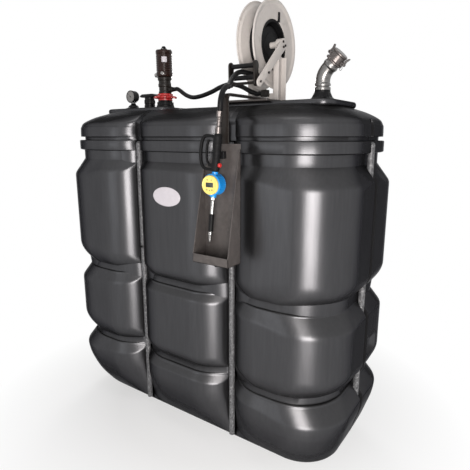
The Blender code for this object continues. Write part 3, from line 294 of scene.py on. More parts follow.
def finish(name, slot, colour, rough, metal=0.0, tone=.1, grain=60.0, bump=.1, depth=.0004,
           stretch=(1, 1, 1), vary=.06, worn=None, painted_top_shade=None, gleam=.5, **sockets):
    """Principled finish from noise in object space: tone and gloss wander, and the skin is grained."""
    made = bpy.data.materials.new(name)
    made.use_nodes = True
    tree = made.node_tree
    shader = tree.nodes["Principled BSDF"]
    shader.inputs["Metallic"].default_value = metal
    shader.inputs["Specular IOR Level"].default_value = gleam
    for key, value in sockets.items():
        shader.inputs[key.replace("_", " ")].default_value = value
    link = tree.links.new

    place = add_node(tree, "TexCoord")
    scaled = add_node(tree, "Mapping", Scale=stretch)
    link(place.outputs["Object"], scaled.inputs["Vector"])

    def noise(scale, detail=5.0, source=scaled):
        n = add_node(tree, "TexNoise", Scale=scale, Detail=detail, Roughness=.6)
        link(source.outputs[0 if source is scaled else "Object"], n.inputs["Vector"])
        return n.outputs["Fac"]

    def ranged(value, low, high, a, b):
        n = add_node(tree, "MapRange", From_Min=low, From_Max=high, To_Min=a, To_Max=b)
        link(value, n.inputs["Value"])
        return n.outputs["Result"]

    def mixed(factor, a, b):
        n = add_node(tree, "Mix")
        n.data_type = "RGBA"
        link(factor, n.inputs["Factor"])
        for socket, value in ((n.inputs[6], a), (n.inputs[7], b)):
            if isinstance(value, tuple):
                socket.default_value = (*value, 1.0)
            else:
                link(value, socket)
        return n.outputs[2]

    dark = tuple(c * (1 - tone) for c in colour)
    light = tuple(min(c * (1 + tone), 1.0) for c in colour)
    base = mixed(ranged(noise(grain), .35, .65, 0, 1), dark, light)
    if worn:
        shade, scale, low = worn
        base = mixed(ranged(noise(scale, 8.0, place), low, low + .08, 0, 1), base, shade)
    # painted shade: faces that point upward are mixed towards the darker colour, up to the given amount, so
    # tops read darker
    if painted_top_shade:
        shade, amount = painted_top_shade
        shape = add_node(tree, "NewGeometry")
        split = add_node(tree, "SeparateXYZ")
        link(shape.outputs["Normal"], split.inputs[0])
        base = mixed(ranged(split.outputs["Z"], .3, 1.0, 0, amount), base, shade)
    link(base, shader.inputs["Base Color"])
    link(ranged(noise(grain * .3), .3, .7, rough - vary, rough + vary), shader.inputs["Roughness"])
    skin = add_node(tree, "Bump", Strength=bump, Distance=depth)
    link(noise(grain * 4, 3.0), skin.inputs["Height"])
    link(skin.outputs["Normal"], shader.inputs["Normal"])
    return made


# the tank's upward faces carry painted shade: a darker colour mixed in by the height of the normal
TANK = finish("moulded_grey", "tank_plastic", (.066, .066, .0695), .35, metal=.92, tone=.06, grain=30,
              stretch=(3, 3, .25), bump=.12, depth=.0004, vary=.025, painted_top_shade=((.04, .039, .038), .7),
              Specular_Tint=(.25, .25, .26, 1), gleam=.3, Anisotropic=.6,
              Anisotropic_Rotation=.25)
ZINC = finish("galvanised", "zinc", (.08, .081, .085), .52, metal=.2, tone=.5, grain=110, bump=.3,
              worn=((.2, .2, .205), 70, .56), gleam=.3)
BLACK = finish("black_moulding", "black_plastic", (.006, .006, .0065), .36, tone=.2, grain=200, bump=.25,
               gleam=.13)
STEEL_BLACK = finish("blacked_steel", "black_plastic", (.01, .008, .007), .36, tone=.3, grain=120,
                     gleam=.18)
RED = finish("red_moulding", "red_plastic", (.36, .014, .013), .36, tone=.12, grain=150, bump=.15)
MOTOR = finish("brown_lacquer", "motor_paint", (.015, .0065, .005), .28, metal=.1, tone=.4, grain=90, bump=.2,
               gleam=.22)
BRIGHT = finish("polished_alloy", "polished_metal", (.25, .243, .238), .25, metal=.95, tone=.1, grain=90,
                bump=.12)
SATIN = finish("satin_alloy", "polished_metal", (.165, .161, .158), .31, metal=.93, tone=.14, grain=100,
               bump=.15)
SOOT = finish("matt_black_skin", "black_plastic", (.006, .006, .0065), .55, tone=.3, grain=180,
              gleam=.08)
DULL = finish("cast_alloy", "polished_metal", (.115, .102, .098), .34, metal=.85, tone=.2, grain=110,
              bump=.25)
DIAL = finish("dial_face", "dial_white", (.2, .196, .192), .45, tone=.05, grain=120)
TRAY = finish("tray_lacquer", "tray_paint", (.05, .044, .042), .42, metal=.15, tone=.14, grain=45, bump=.15,
              worn=((.075, .069, .067), 16, .6), gleam=.35)
REEL = finish("reel_lacquer", "reel_paint", (.48, .45, .43), .38, tone=.03, grain=50, bump=.2,
              worn=((.41, .385, .365), 22, .6), gleam=.4)
RUBBER = finish("hose_rubber_black", "hose_rubber", (.005, .005, .0055), .44, tone=.25, grain=220, bump=.35,
                gleam=.11)
BLUE = finish("blue_moulding", "meter_blue", (.004, .185, .5), .34, tone=.08, grain=130)
YELLOW = finish("yellow_moulding", "meter_yellow", (.58, .47, .13), .42, tone=.05, grain=130)
GLASS = finish("display_window", "black_plastic", (.016, .02, .014), .16, tone=.3, grain=300, bump=.02)
# pale label colour, used for the oval label and as a painted highlight on the motor's plate
LABEL_AND_HIGHLIGHT = finish("plain_label_and_painted_highlight", "dial_white", (.42, .4, .43), .38, tone=.03, grain=60, bump=.05)

# the tank's highlights stretch upright, along the mould's draw
upright = add_node(TANK.node_tree, "Tangent")
upright.direction_type = "RADIAL"
upright.axis = "Z"
TANK.node_tree.links.new(upright.outputs[0], TANK.node_tree.nodes["Principled BSDF"].inputs["Tangent"])


# ---- camera and hoses
camera = new_object("camera", bpy.data.cameras.new("camera"))
camera.data.sensor_width = 36.0
camera.data.lens = 33.63
camera.location = (1.37, -1.81, 1.45)
camera.rotation_euler = (math.radians(90 - 12.6), 0, math.radians(34.9))
bpy.context.scene.camera = camera

DELIVERY_ROUTE = [(.004, .189, .113), (.02, .415, .081), (.05, .642, .053),
                  (.081, .811, .043), (.09, .928, .037), (.095, 1.03, .018),
                  (.098, 1.091, -.008)]
SUPPLY_ROUTE = [(.1, -.006, .087), (.191, -.022, .063), (.3, -.04, .047),
                (.417, -.052, .049), (.544, -.058, .064), (.643, -.055, .084),
                (.734, -.045, .094), (.819, -.03, .083), (.897, -.012, .059)]


def free_hose(name, points, across):
    """A round section carried along the route."""
    path = smooth_route(points, .005)
    made = Shape().grid(carried(path, circle(HOSE_R, 24), across))
    made = made.piece(name + "_cover", RUBBER, name)


reach = TRAY_Y - GUIDE_Y
gun_run = [GUN_TOP - GUN_DOWN * run for run in (HOSE_STRAIGHT, HOSE_STRAIGHT / 2, GAP)]
delivery = [(REEL_X, REEL_Y, REEL_Z - DRUM_R - 3 * HOSE_R - GAP), (REEL_X, GUIDE_Y + .08, GUIDE_Z),
            (REEL_X, GUIDE_Y, GUIDE_Z)]
delivery += [(REEL_X + x, GUIDE_Y + reach * share, PAD_Z + z) for x, share, z in DELIVERY_ROUTE]
free_hose("delivery_hose", delivery + [tuple(p) for p in gun_run], (1, 0, 0))

outlet = np.array([PUMP_X + BARREL_R + OUTLET_LONG + 2 * GAP, 0.0, OUTLET_Z])
inlet = np.array([REEL_X + .007, REEL_Y - FRAME_HALF - GAP - INLET_HALF, PAD_Z + .048])
half = np.array([HOSE_STRAIGHT / 2, 0, 0])
supply = [outlet, outlet + half, outlet + 2 * half]
supply += [(outlet[0] + (inlet[0] - outlet[0]) * share, y, PAD_Z + z) for share, y, z in SUPPLY_ROUTE]
supply += [inlet - 2 * half, inlet - half, inlet]
free_hose("supply_hose", supply, (0, 0, 1))


# ---- tank
def lobe_dip(distance, depth, reach, roundness):
    """Depth x (1 - (1 - (1 - distance/reach)^2)^roundness), and none beyond the reach."""
    near = np.clip(distance / reach, 0, 1)
    return depth * (1 - (1 - (1 - near) ** 2) ** roundness)


def plan(end_inset, side_inset, radius, roundness, side_depth=None, narrow=0.0, lift=0.0):
    """The tank's outline for rows of sizes: a rounded rectangle that dips along its normal to the
    groove floors at the ends' middles and at RIB_X, worked out for a quarter and mirrored."""
    e, s, r, k, narrow = [np.reshape(v, (-1, 1)) + np.zeros((1, 1)) for v in
                          (end_inset, side_inset, radius, roundness, narrow)]
    hx, hy = HALF_X - e + lift, HALF_Y - s - narrow + lift
    depth = np.maximum(GROOVE_IN - s - narrow, 0) if side_depth is None else np.reshape(side_depth, (-1, 1))
    end = np.maximum(END_GROOVE_IN - e, 0)
    end = end if side_depth is None else np.minimum(end, depth)
    ease = np.linspace(0, 1, 25)[None, :] ** 1.7
    side = hy - r
    along = GROOVE_HALF + (side - GROOVE_HALF) * ease
    dip = lobe_dip(along - GROOVE_HALF, end, REACH_END, k)
    xs, ys = [hx - end + 0 * ease[:, :2], hx - dip], [np.array([[0, .5]]) * GROOVE_HALF + 0 * side, along]
    turn = np.linspace(0, np.pi / 2, 26)[None, 1:-1]
    straight = hx - r - RIB_X - GROOVE_HALF
    dip = np.maximum(lobe_dip(side - GROOVE_HALF + turn * r, end, REACH_END, k),
                     lobe_dip(straight + (np.pi / 2 - turn) * r, depth, REACH_FRONT, k))
    xs.append(hx - r + (r - dip) * np.cos(turn))
    ys.append(side + (r - dip) * np.sin(turn))
    ease = np.linspace(0, 1, 32)[None, :] ** 1.4
    along = straight * ease[:, ::-1]
    xs.append(RIB_X + GROOVE_HALF + along)
    ys.append(hy - lobe_dip(along, depth, REACH_FRONT, k))
    xs.append(RIB_X + np.array([[.5, 0, -.5]]) * GROOVE_HALF + 0 * hy)
    ys.append(hy - depth + 0 * xs[-1])
    along = (RIB_X - GROOVE_HALF) * ease
    xs.append(RIB_X - GROOVE_HALF - along + 0 * hy)
    ys.append(hy - lobe_dip(along, depth, REACH_FRONT, k))
    x, y = np.concatenate(xs, 1), np.concatenate(ys, 1)
    x, y = np.concatenate([x, -x[:, -2::-1]], 1), np.concatenate([y, y[:, -2::-1]], 1)
    x, y = np.concatenate([x, x[:, -2:0:-1]], 1), np.concatenate([y, -y[:, -2:0:-1]], 1)
    return np.stack([x, y], -1)


def smooth_least(a, b, blend):
    """The lesser of two values, less (blend - |a - b|)^2 / (4 blend) where they are close."""
    return np.minimum(a, b) - np.maximum(blend - np.abs(a - b), 0) ** 2 / (4 * blend)


def base_narrow(z):
    return .045 * np.maximum(0, 1 - z / .2) ** 2


LOW_TIER_Z = (.228, .342)
MID_TIER_Z = (.38, .745)
TOP_TIER_Z = (.785, 1.338)
TIER = (0.0, 0.0, .22, .6)
WAIST = (.055, .032, .226, 1.0)
NECK = (.05, .029, .226, .9)
LEDGE = (.044, .022, .225, .94)
RIM_ROUND = .6


def rising(z, high, t, a):
    """g, the share of outline T over A: 1 below and smoothly down to 0 over the last 1.3 |T - A|."""
    span = np.linalg.norm(t - a, axis=-1)
    g = smooth_least((high - z[:, None]) / (1.3 * span + 1e-4), 1.0, .14)
    return np.where(span < .001, 1.0, np.clip(g, 0, 1))[..., None]


def tier(low, high, count, below, above):
    """P = T - (T - A)(1 - g) - (T - B)(1 - h): T the full outline, A and B the waists above and
    below, g from rising() and h the rounding from B over 0.022 + 1.2 |T - B|."""
    z = low + (high - low) * (.5 - .5 * np.cos(np.linspace(0, np.pi, count)))
    t, a, b = plan(*TIER), plan(*above), plan(*below)
    h = np.clip((z[:, None] - low) / (.022 + 1.2 * np.linalg.norm(t - b, axis=-1)), 0, 1)
    h = 1 - (1 - h) ** 2
    return with_height(t - (t - a) * (1 - rising(z, high, t, a)) - (t - b) * (1 - h[..., None]), z)


def with_height(flat, z):
    z = np.reshape(z, (-1, 1, 1))
    return np.concatenate([flat, np.broadcast_to(z, flat[..., :1].shape)], -1)


def level_rows(table, count, spread=0.0):
    """Rows of sizes between those of a table, with its corners averaged over `spread` each way."""
    table = np.asarray(table, float)
    z = np.linspace(table[0, 0], table[-1, 0], count)
    shifts = np.linspace(-spread, spread, 9)
    near = np.clip(z[:, None] + shifts, table[0, 0], table[-1, 0])
    return z, [np.interp(near, table[:, 0], table[:, k]).mean(1) for k in range(1, table.shape[1])]


def ledge(z):
    """Rows that round the shoulder's upper edge, r (1 - cos a) in and r sin a up, towards the waist."""
    a = np.radians([8, 20, 32, 45, 60, 75, 90])
    rise, draw = .01 * np.sin(a), .01 * (1 - np.cos(a))
    end, side, radius, roundness = LEDGE
    rows = [plan(end + inward, side + inward, radius, roundness + 5 * inward) for inward in draw]
    return with_height(np.concatenate(rows), z + rise)


def build_shell():
    """Foot, low tier, two tiers on ledges, neck and rim, then the lining back down; the right end
    is pressed in for a hand-hold by 0.024 (1 - u^4)(1 - v^4)."""
    base = [(0.0, .092, .092, .18, 1.0), (.004, .085, .085, .183, 1.0), (.014, .078, .078, .185, 1.0),
            (.11, .04, .04, .2, .7), (.225, .004, .004, .22, .6)]
    z, (e, s, r, k) = level_rows(base, 30, .016)
    e[0], s[0] = .092, .092
    foot = with_height(plan(e, s, r, k, narrow=base_narrow(z)), z)
    t, a, start = plan(*TIER), plan(*LEDGE), foot[-1, :, :2]
    z2 = np.linspace(*LOW_TIER_Z, 32)
    near = np.clip((z2 - .225) / .05, 0, 1)[:, None, None]
    full = start + (t - start) * near * (2 - near)
    low_tier = with_height(full - (full - a) * (1 - rising(z2, LOW_TIER_Z[1], t, a)), z2)
    rows = [foot, low_tier, ledge(LOW_TIER_Z[1]), tier(*MID_TIER_Z, 60, WAIST, LEDGE),
            ledge(MID_TIER_Z[1]), tier(*TOP_TIER_Z, 64, WAIST, NECK)]
    neck = [(1.36, NECK), (1.3825, NECK)]
    rim = [(1.3845, .034), (1.3858, .029), (1.3885, .026), (1.43, .026), (1.4328, .0275), (1.434, .03)]
    for height, sizes in neck:
        rows.append(with_height(plan(*sizes), height))
    for height, end in rim:
        rows.append(with_height(plan(end, end - .012, .24, RIM_ROUND), height))
    for height, end, side in ((1.434, .066, .028), (1.345, .066, .028), (.875, .022, .014), (.02, .1, .1)):
        rows.append(with_height(plan(end + .012, side + .012, .2, RIM_ROUND), height))
    wall = np.concatenate(rows)
    hold_y, hold_z, half_wide, half_high, deep = .085, .52, .058, .036, .024
    across = np.clip(1 - (np.abs(wall[..., 1] - hold_y) / half_wide) ** 4, 0, 1)
    upward = np.clip(1 - (np.abs(wall[..., 2] - hold_z) / half_high) ** 4, 0, 1)
    wall[..., 0] -= deep * across * upward * (wall[..., 0] > .78)
    Shape().grid(wall).piece("tank_shell_moulding", TANK, "tank_shell", angle=50)


def build_roof():
    """Skirt rows, then a shoulder whose sizes follow a smooth curve up to the crown, then the lining."""
    rows = []
    for z, e in ((1.4343, .048), (1.435, .046), (1.449, .046), (1.45, .0445), (1.4505, .033),
                 (1.452, .03), (1.47, .0302), (1.494, .031)):
        rows.append(with_height(plan(e, e - .01 - .002 * (z < 1.45), .24, RIM_ROUND), z))
    steps = [(1.498, .032, .022, .24, .6, .09), (1.522, .046, .038, .23, .7, .066),
             (1.548, .088, .084, .21, .8, .045), (1.567, .138, .136, .19, .9, .028),
             (1.5795, .176, .176, .158, 1.0, .016), (CROWN_Z, .215, .215, .13, 1.0, .008)]
    curve = smooth_route(steps, .004)
    rows.append(with_height(plan(*curve[:, 1:5].T, side_depth=np.maximum(curve[:, 5], 0)), curve[:, 0]))
    last = rows[-1][-1]
    for share in (.7, .4, .1):
        ring = last.copy()
        ring[:, 1] *= share
        ring[:, 0] *= .86 + .14 * share
        rows.append(ring[None])
    top = np.concatenate(rows)
    Shape().grid(top).piece("tank_roof_moulding", TANK, "tank_roof", angle=50)
    for side, (low, high) in {"left": (-.655, -.215), "right": (.115, .668)}.items():
        pad = slab(panel((low, -.165), (high, .165), .07, 16), CROWN_Z - .012, PAD_Z, .011)
        Shape().grid(pad).piece("roof_pad_" + side, TANK, angle=50)


def build_tubes():
    """Round tubes with domed tops in the grooves, and a tie round one of them."""
    along_x, along_y = HALF_X - END_GROOVE_IN + TUBE_R + GAP, HALF_Y - GROOVE_IN + TUBE_R + GAP
    places = {"front_left": (-RIB_X, -along_y), "front_right": (RIB_X, -along_y),
              "back_left": (-RIB_X, along_y), "back_right": (RIB_X, along_y),
              "left_end": (-along_x, 0), "right_end": (along_x, 0)}
    a = np.radians([0, 12, 24, 36, 48, 60, 72, 82])
    crown = polar(TUBE_R, a) + (0, 1.416)
    for name, (x, y) in places.items():
        foot = .215 if "end" in name else .035
        z = np.linspace(foot, 1.41, 60)
        wall = np.stack([TUBE_R - .00015 * (1 + np.sin(z * 37)), z], -1)
        tube = turned(np.concatenate([[(.0125, foot)], wall, crown]), .001, 32)
        Shape().grid(tube, place=at(x, y, 0)).piece("groove_tube_" + name, ZINC, "tube_" + name)
    tie = Shape()
    band = [(.0143, -.005), (.017, -.005), (.017, .005), (.0143, .005)]
    tie.grid(turned(band, .0005, 32, True), True, at(-RIB_X, -along_y, .899))
    tie.grid(block((-RIB_X - .006, -along_y - .0215, .8945),
                   (-RIB_X + .004, -along_y - .0145, .9035), .001, .001))
    tie.grid(block((-RIB_X - .004, -along_y - .026, .8965),
                   (-RIB_X - .001, -along_y - .019, .9015), .0005, .001))
    tie.piece("cable_tie", BLACK)


def build_label():
    """Oval sheet on the middle bay: polar grid whose depth follows the wall's own dip formula."""
    turn = full_turn(72)
    reach = np.array([.02, .25, .5, .75, .97, 1.0])[:, None]
    centre_x, centre_z, half_wide, half_high = -.012, 1.186, .083, .0435
    x = centre_x + half_wide * reach * np.cos(turn)
    z = centre_z + half_high * reach * np.sin(turn)
    wall = -HALF_Y + lobe_dip(RIB_X - GROOVE_HALF - np.abs(x), GROOVE_IN, REACH_FRONT, TIER[3])
    face = np.stack([x, wall - .0009 + .0003 * (reach > .98), z], -1)
    back = np.stack([x, wall + .0008, z], -1)[::-1]
    Shape().grid(np.concatenate([face, back])).piece("blank_oval_label", LABEL_AND_HIGHLIGHT)


build_shell()
build_roof()
build_tubes()
build_label()


# ---- fittings on the roof
def hexagon(radius):
    return rounded(polar(radius, full_turn(6)), radius * .06, True)


def bolt_heads(shape, spots, radius, low, high, edge, axis="Z"):
    for spot in spots:
        shape.grid(slab(hexagon(radius) + spot, low, high, edge, axis))
    return shape


def build_pump():
    bore = .0213
    bung = [(bore, 0), (.0515, 0), (.052, .003), (.052, .006), (.0478, .012), (.0478, .017), (.044, .019),
            (.044, .034), (.0384, .036), (.0384, BUNG_HIGH), (bore, BUNG_HIGH)]
    turned_piece("pump_bung_moulding", BLACK, "pump_bung", bung, .0008, 168, at(PUMP_X, 0, FOOT), True,
                 notched(.0012, 28, 0, inner=.0435, outer=.046))
    nut = [(bore, 0), (.0384, 0), (.0384, .0075), (.056, .01), (.062, .0115), (.062, .0185),
           (.056, .0215), (.0405, .0245), (.0405, NUT_HIGH), (bore, NUT_HIGH)]
    lobes = lambda r, t: (r > .045) * .0085 * (r / .062) ** 2 * (.5 + .5 * np.tanh(5 * np.cos(11 * t)))
    knurl = notched(.0012, 30, .2, inner=.04, outer=.041)
    teeth = lambda r, h, t: knurl(r, h, t) - lobes(r, t)
    turned_piece("pump_nut_moulding", RED, "pump_nut", nut, .0009, 176, at(PUMP_X, 0, NUT_Z), True, teeth)
    barrel = [(.03, 0), (.034, .001), (.034, .01), (.0315, .013), (.0315, .034), (.035, .037), (.035, .05),
              (.0325, .053), (.0325, .066), (.037, .069), (.037, .083), (.035, BARREL_HIGH)]
    turned_piece("pump_barrel_casting", STEEL_BLACK, "pump_barrel", barrel, .0012, 64,
                 at(PUMP_X, 0, BARREL_Z))
    motor_z = BARREL_Z + BARREL_HIGH + GAP
    h = np.arange(.03, .112, .0015)
    ribs = np.stack([.0425 - .0016 * (.5 + .5 * np.cos(h * 2 * np.pi / .009)), h], -1)
    lower = [(.036, 0), (.041, .002), (.0435, .008), (.0435, .022), (.0405, .024), (.0405, .028)]
    upper = [(.04, .114), (.0432, .116), (.0432, .128), (.0415, .133), (.02, .135)]
    motor = np.concatenate([lower, ribs, upper])
    turned_piece("air_motor_casing", MOTOR, "air_motor", motor, .001, 64, at(PUMP_X, 0, motor_z))
    knob = [(.015, 0), (.016, .002), (.016, .007), (.011, .009), (.011, .0145), (.007, .0185), (.002, .019)]
    turned_piece("motor_muffler_cap", BLACK, "motor_muffler", knob, .0008, 88,
                 at(PUMP_X, 0, motor_z + .1353), wave=notched(.0007, 22, 0, inner=.0105))
    spots = polar(.034, np.radians([35, 125, 215, 305])) + (PUMP_X, 0)
    bolts = bolt_heads(Shape(), spots, .0042, motor_z + .1345, motor_z + .1385, .0005)
    bolts.piece("motor_bolts", BRIGHT)
    # a thin pale plate on the motor's side: its pale colour is a painted highlight, a white glint drawn as a
    # sheet
    turn = np.radians(np.linspace(-64, -28, 14))[None, :]
    edge = np.array([.0418, .0432, .0432, .0418])[:, None]
    level = np.array([.07, .0715, .0965, .098])[:, None]
    arc = np.stack([edge * np.cos(turn), edge * np.sin(turn), level + 0 * turn], -1)
    inner = arc * (.94, .94, 1)
    sheet = np.concatenate([arc, inner[:, ::-1]], 1)
    Shape().grid(sheet, place=at(PUMP_X, 0, motor_z)).piece("motor_painted_highlight_plate", LABEL_AND_HIGHLIGHT)
    side = facing((PUMP_X - .045 - GAP, 0, motor_z + .014), (-1, 0, 0))
    port = Shape().grid(slab(hexagon(.014), 0, .009, .001), place=side)
    port.grid(turned([(.009, .0088), (.0112, .01), (.0112, .019), (.0085, .02)], .0008, 32), place=side)
    port.piece("air_inlet_union", BRIGHT, "air_inlet")
    plate = slab(panel((-.009, -.007), (.009, .007), .003), 0, .0014, .0005)
    turn = math.radians(-62)
    spot = (PUMP_X + .0432 * math.cos(turn), .0432 * math.sin(turn), motor_z + .015)
    plug = Shape().grid(plate, place=facing(spot, (math.cos(turn), math.sin(turn), 0)))
    plug.piece("motor_port_plug", BRIGHT)
    side = facing((PUMP_X + BARREL_R + GAP, 0, OUTLET_Z), (1, 0, 0))
    tail = Shape().grid(slab(hexagon(.016), -.004, .01, .001), place=side)
    tail.grid(turned([(.0105, .0098), (.0125, .011), (.0125, .021), (.0115, .022)], .0008, 32), place=side)
    tail.piece("pump_outlet_union", STEEL_BLACK, "pump_outlet")


def build_vent():
    stem = [(.036, 0), (.0345, .005), (.03, .01), (.03, .022), (.0282, .024), (.0282, .03), (.03, .032),
            (.03, .05), (.027, .0525), (.027, .0635)]
    turned_piece("vent_stem_moulding", BLACK, "vent_stem", stem, .0008, 144, at(VENT_X, 0, FOOT),
                 wave=notched(.001, 24, .1, .032, .0505, .029))
    foot = FOOT + .061 + .003 + GAP
    outline = rounded([(-.056, .004), (-.042, 0), (.042, 0), (.056, .004), (.056, .01), (.04, .018),
                       (-.04, .018), (-.056, .01)], .004, True)
    bar = slab(outline, -.023, .023, .004, "Y")
    Shape().grid(bar, place=at(VENT_X, 0, foot)).piece("vent_bar_moulding", BLACK, "vent_bar")


def build_gauge():
    base = [(.0515, 0), (.052, .002), (.0505, .008), (.03, .0165), (.0262, .026), (.015, .031), (.012, .0404)]
    turned_piece("gauge_base_moulding", BLACK, "gauge_base", base, .004, 64, at(GAUGE_X, 0, FOOT))
    front = facing((GAUGE_X, 0, PAD_Z + .075), (0, -1, 0))
    case = [(.024, -.022), (.03, -.019), (.0325, -.012), (.0325, .01), (.034, .012), (.034, .02),
            (.0325, .022), (.0302, .022), (.03, .0185), (.004, .0182)]
    turned_piece("gauge_case_moulding", BLACK, "gauge_case", case, .0008, 72, front)
    dial = [(.0292, .0183), (.0292, .02), (.0285, .0205), (.002, .0205)]
    turned_piece("gauge_dial_face", DIAL, "gauge_dial", dial, .0004, 64, front)
    marks = Shape()
    for turn in np.radians(np.arange(-120, 121, 24)):
        tick = block((-.0005, .0215, .0204), (.0005, .026, .0208), .0001, .0001)
        marks.grid(tick, place=front @ Matrix.Rotation(turn, 4, "Z"))
    needle = slab(rounded([(-.0013, -.006), (.0013, -.006), (.0005, .022), (-.0005, .022)], .0004, True),
                  .0207, .0212, .0001)
    marks.grid(needle, place=front @ Matrix.Rotation(math.radians(50), 4, "Z"))
    marks.grid(turned([(.003, .0206), (.003, .0216), (.001, .0219)], .0003, 24), place=front)
    marks.piece("gauge_marks", BLACK)


def build_filler():
    bung = [(.0575, 0), (.058, .002), (.0555, .007), (.044, .016), (.0385, .027), (.035, .035),
            (.034, .036), (.034, BUNG_HIGH)]
    turned_piece("filler_bung_moulding", BLACK, "filler_bung", bung, .0015, 160, at(FILLER_X, 0, FOOT),
                 wave=notched(.0011, 20, .3, .006, .034))
    ring_z = FOOT + BUNG_HIGH + GAP
    ring = [(.03, 0), (.0335, .001), (.034, .003), (.034, .0115), (.033, .013), (.029, .014),
            (.029, RING_HIGH)]
    turned_piece("filler_ring_casting", SATIN, "filler_ring", ring, .0012, 72, at(FILLER_X, 0, ring_z))
    elbow_z = ring_z + RING_HIGH + GAP
    lean, bend_r, nose_long = 45, .07, .032
    turn = np.radians(np.linspace(0, lean, 28))
    bend = np.stack([FILLER_X + bend_r - bend_r * np.cos(turn), 0 * turn,
                     elbow_z + .018 + bend_r * np.sin(turn)], -1)
    lean = math.radians(lean)
    axis = np.array([math.sin(lean), 0, math.cos(lean)])
    foot = np.array([[FILLER_X, 0, elbow_z + h] for h in np.linspace(0, .0165, 12)])
    nose = bend[-1] + axis * np.linspace(.0015, nose_long, 18)[:, None]
    path = np.concatenate([foot, bend, nose])
    run = np.concatenate([[0], np.cumsum(np.linalg.norm(np.diff(path, axis=0), axis=1))])
    knots = [0, .002, .006, .0095, .012, .06, .07, .08, .0835, .086, .093, .0965, run[-1]]
    radii = [.0335, .034, .034, .032, .0305, .03, .03, .03, .0318, .0328, .0328, .0312, .0312]
    radius = np.minimum(np.interp(run, knots, radii), .0338)
    elbow = Shape().grid(carried(path, circle(radius, 72), (0, 1, 0)))
    elbow.piece("filler_elbow_casting", SATIN, "filler_elbow", angle=50)
    mouth = bend[-1] + axis * (nose_long + GAP)
    cap = Shape()
    outer = [(.0365, 0), (.0385, .001), (.039, .003), (.039, .0065), (.0372, .0085), (.0335, .01),
             (.033, .038), (.0345, .04), (.0345, .045), (.032, .048), (.004, .047)]
    lugs = notched(.0008, 16, 0, .012, .037)
    cap.grid(turned(outer, .0012, 96, wave=lugs), place=facing(mouth, axis))
    across = np.array([math.cos(lean), 0, -math.sin(lean)])
    for sign in (-1, 1):
        out = across * sign
        frame3 = Matrix((Vector(axis), Vector((0, -sign, 0)), Vector(out))).transposed().to_4x4()
        place = Matrix.Translation(Vector(mouth + axis * .02 + out * .0405)) @ frame3
        for side in (-1, 1):
            near, far = side * .008, side * .012
            ear = rounded([(-.0072, -.0105), (.0072, -.0105), (.0064, .002), (.0032, .006), (-.0032, .006),
                           (-.0064, .002)], .0015, True)
            cap.grid(slab(ear, min(near, far), max(near, far), .0006, "Y"), place=place)
    cap.piece("dust_cap_casting", DULL, "dust_cap")
    pull = [(.0072, -.0008), (.0088, -.0008), (.0088, .0008), (.0072, .0008)]
    spot = facing(mouth + axis * .0045 + across * .0435, (.5, .8, -.3))
    turned_piece("cam_lever_ring", DULL, None, pull, .0007, 40, spot, True, body="lower_cam")


build_pump()
build_vent()
build_gauge()
build_filler()


# ---- hose reel
def link(first, first_r, second, second_r, steps=24):
    """Outline of two round ends joined by straight sides, as pairs."""
    a, b = np.asarray(first, float), np.asarray(second, float)
    heading = math.atan2(*(b - a)[::-1])
    lean = math.acos((first_r - second_r) / np.linalg.norm(b - a))
    one = np.linspace(heading + lean, heading + 2 * math.pi - lean, steps)
    two = np.linspace(heading - lean, heading + lean, steps)
    return np.concatenate([a + polar(first_r, one), b + polar(second_r, two)])


def build_reel():
    along = facing((REEL_X - REEL_HALF, REEL_Y, REEL_Z), (1, 0, 0))
    width = 2 * REEL_HALF
    hub = [(.015, -.006), (.05, -.006), (.062, -.001), (.098, -.001), (.102, -.0028), (.109, -.0028)]
    flange = [(.113, -.001), (.169, -.0026), (.18, -.0085), (.1875, -.0098), (.1925, -.007), (.1925, -.004),
              (.189, -.0015), (.186, -.004), (.18, -.002), (.172, .0032)]
    hole = [(.109, width + .0028), (.105, width + .0024), (.101, width - .001), (.101, width - .008),
            (.101, .004), (.015, .004)]
    apart = .0055
    far = hub + [(r, h - apart) for r, h in flange]
    near = [(r, width - h + apart) for r, h in flange[::-1]] + hole
    profile = far + [(DRUM_R, .0038), (DRUM_R, width - .0038)] + near
    turned_piece("reel_drum_pressing", REEL, "reel_drum", profile, .003, 160, along, True, body="reel",
                 angle=40)
    lining = [(.099, .005), (.1006, .005), (.1006, width - .009), (.1006, width + .003),
              (.109, width + .0031), (.1098, width + .0037), (.109, width + .0043), (.099, width + .004)]
    turned_piece("reel_hole_lining", SOOT, None, lining, .0004, 120, along, True, body="reel")
    strap = Shape().grid(block((REEL_X + REEL_HALF + .003, REEL_Y + .026, REEL_Z + .102),
                               (REEL_X + REEL_HALF + .013, REEL_Y + .038, REEL_Z + .144), .0006, .002))
    strap.piece("reel_hose_strap", SOOT, body="reel")
    coil = Shape()
    for centre in (.0193, .0407):
        ring = polar(HOSE_R, full_turn(20)) + (DRUM_R + HOSE_R + GAP, centre)
        coil.grid(turned(ring, .0001, 160, True), True, along)
    coil.piece("wound_hose_turns", RUBBER, "wound_hose", body="reel")
    case = [(.0145, .012), (.078, .012), (.086, .016), (.086, .04), (.08, .046), (.056, .047), (.054, .05),
            (.0145, .05)]
    turned_piece("spring_case_pressing", SOOT, "spring_case", case, .002, 96, along, True)


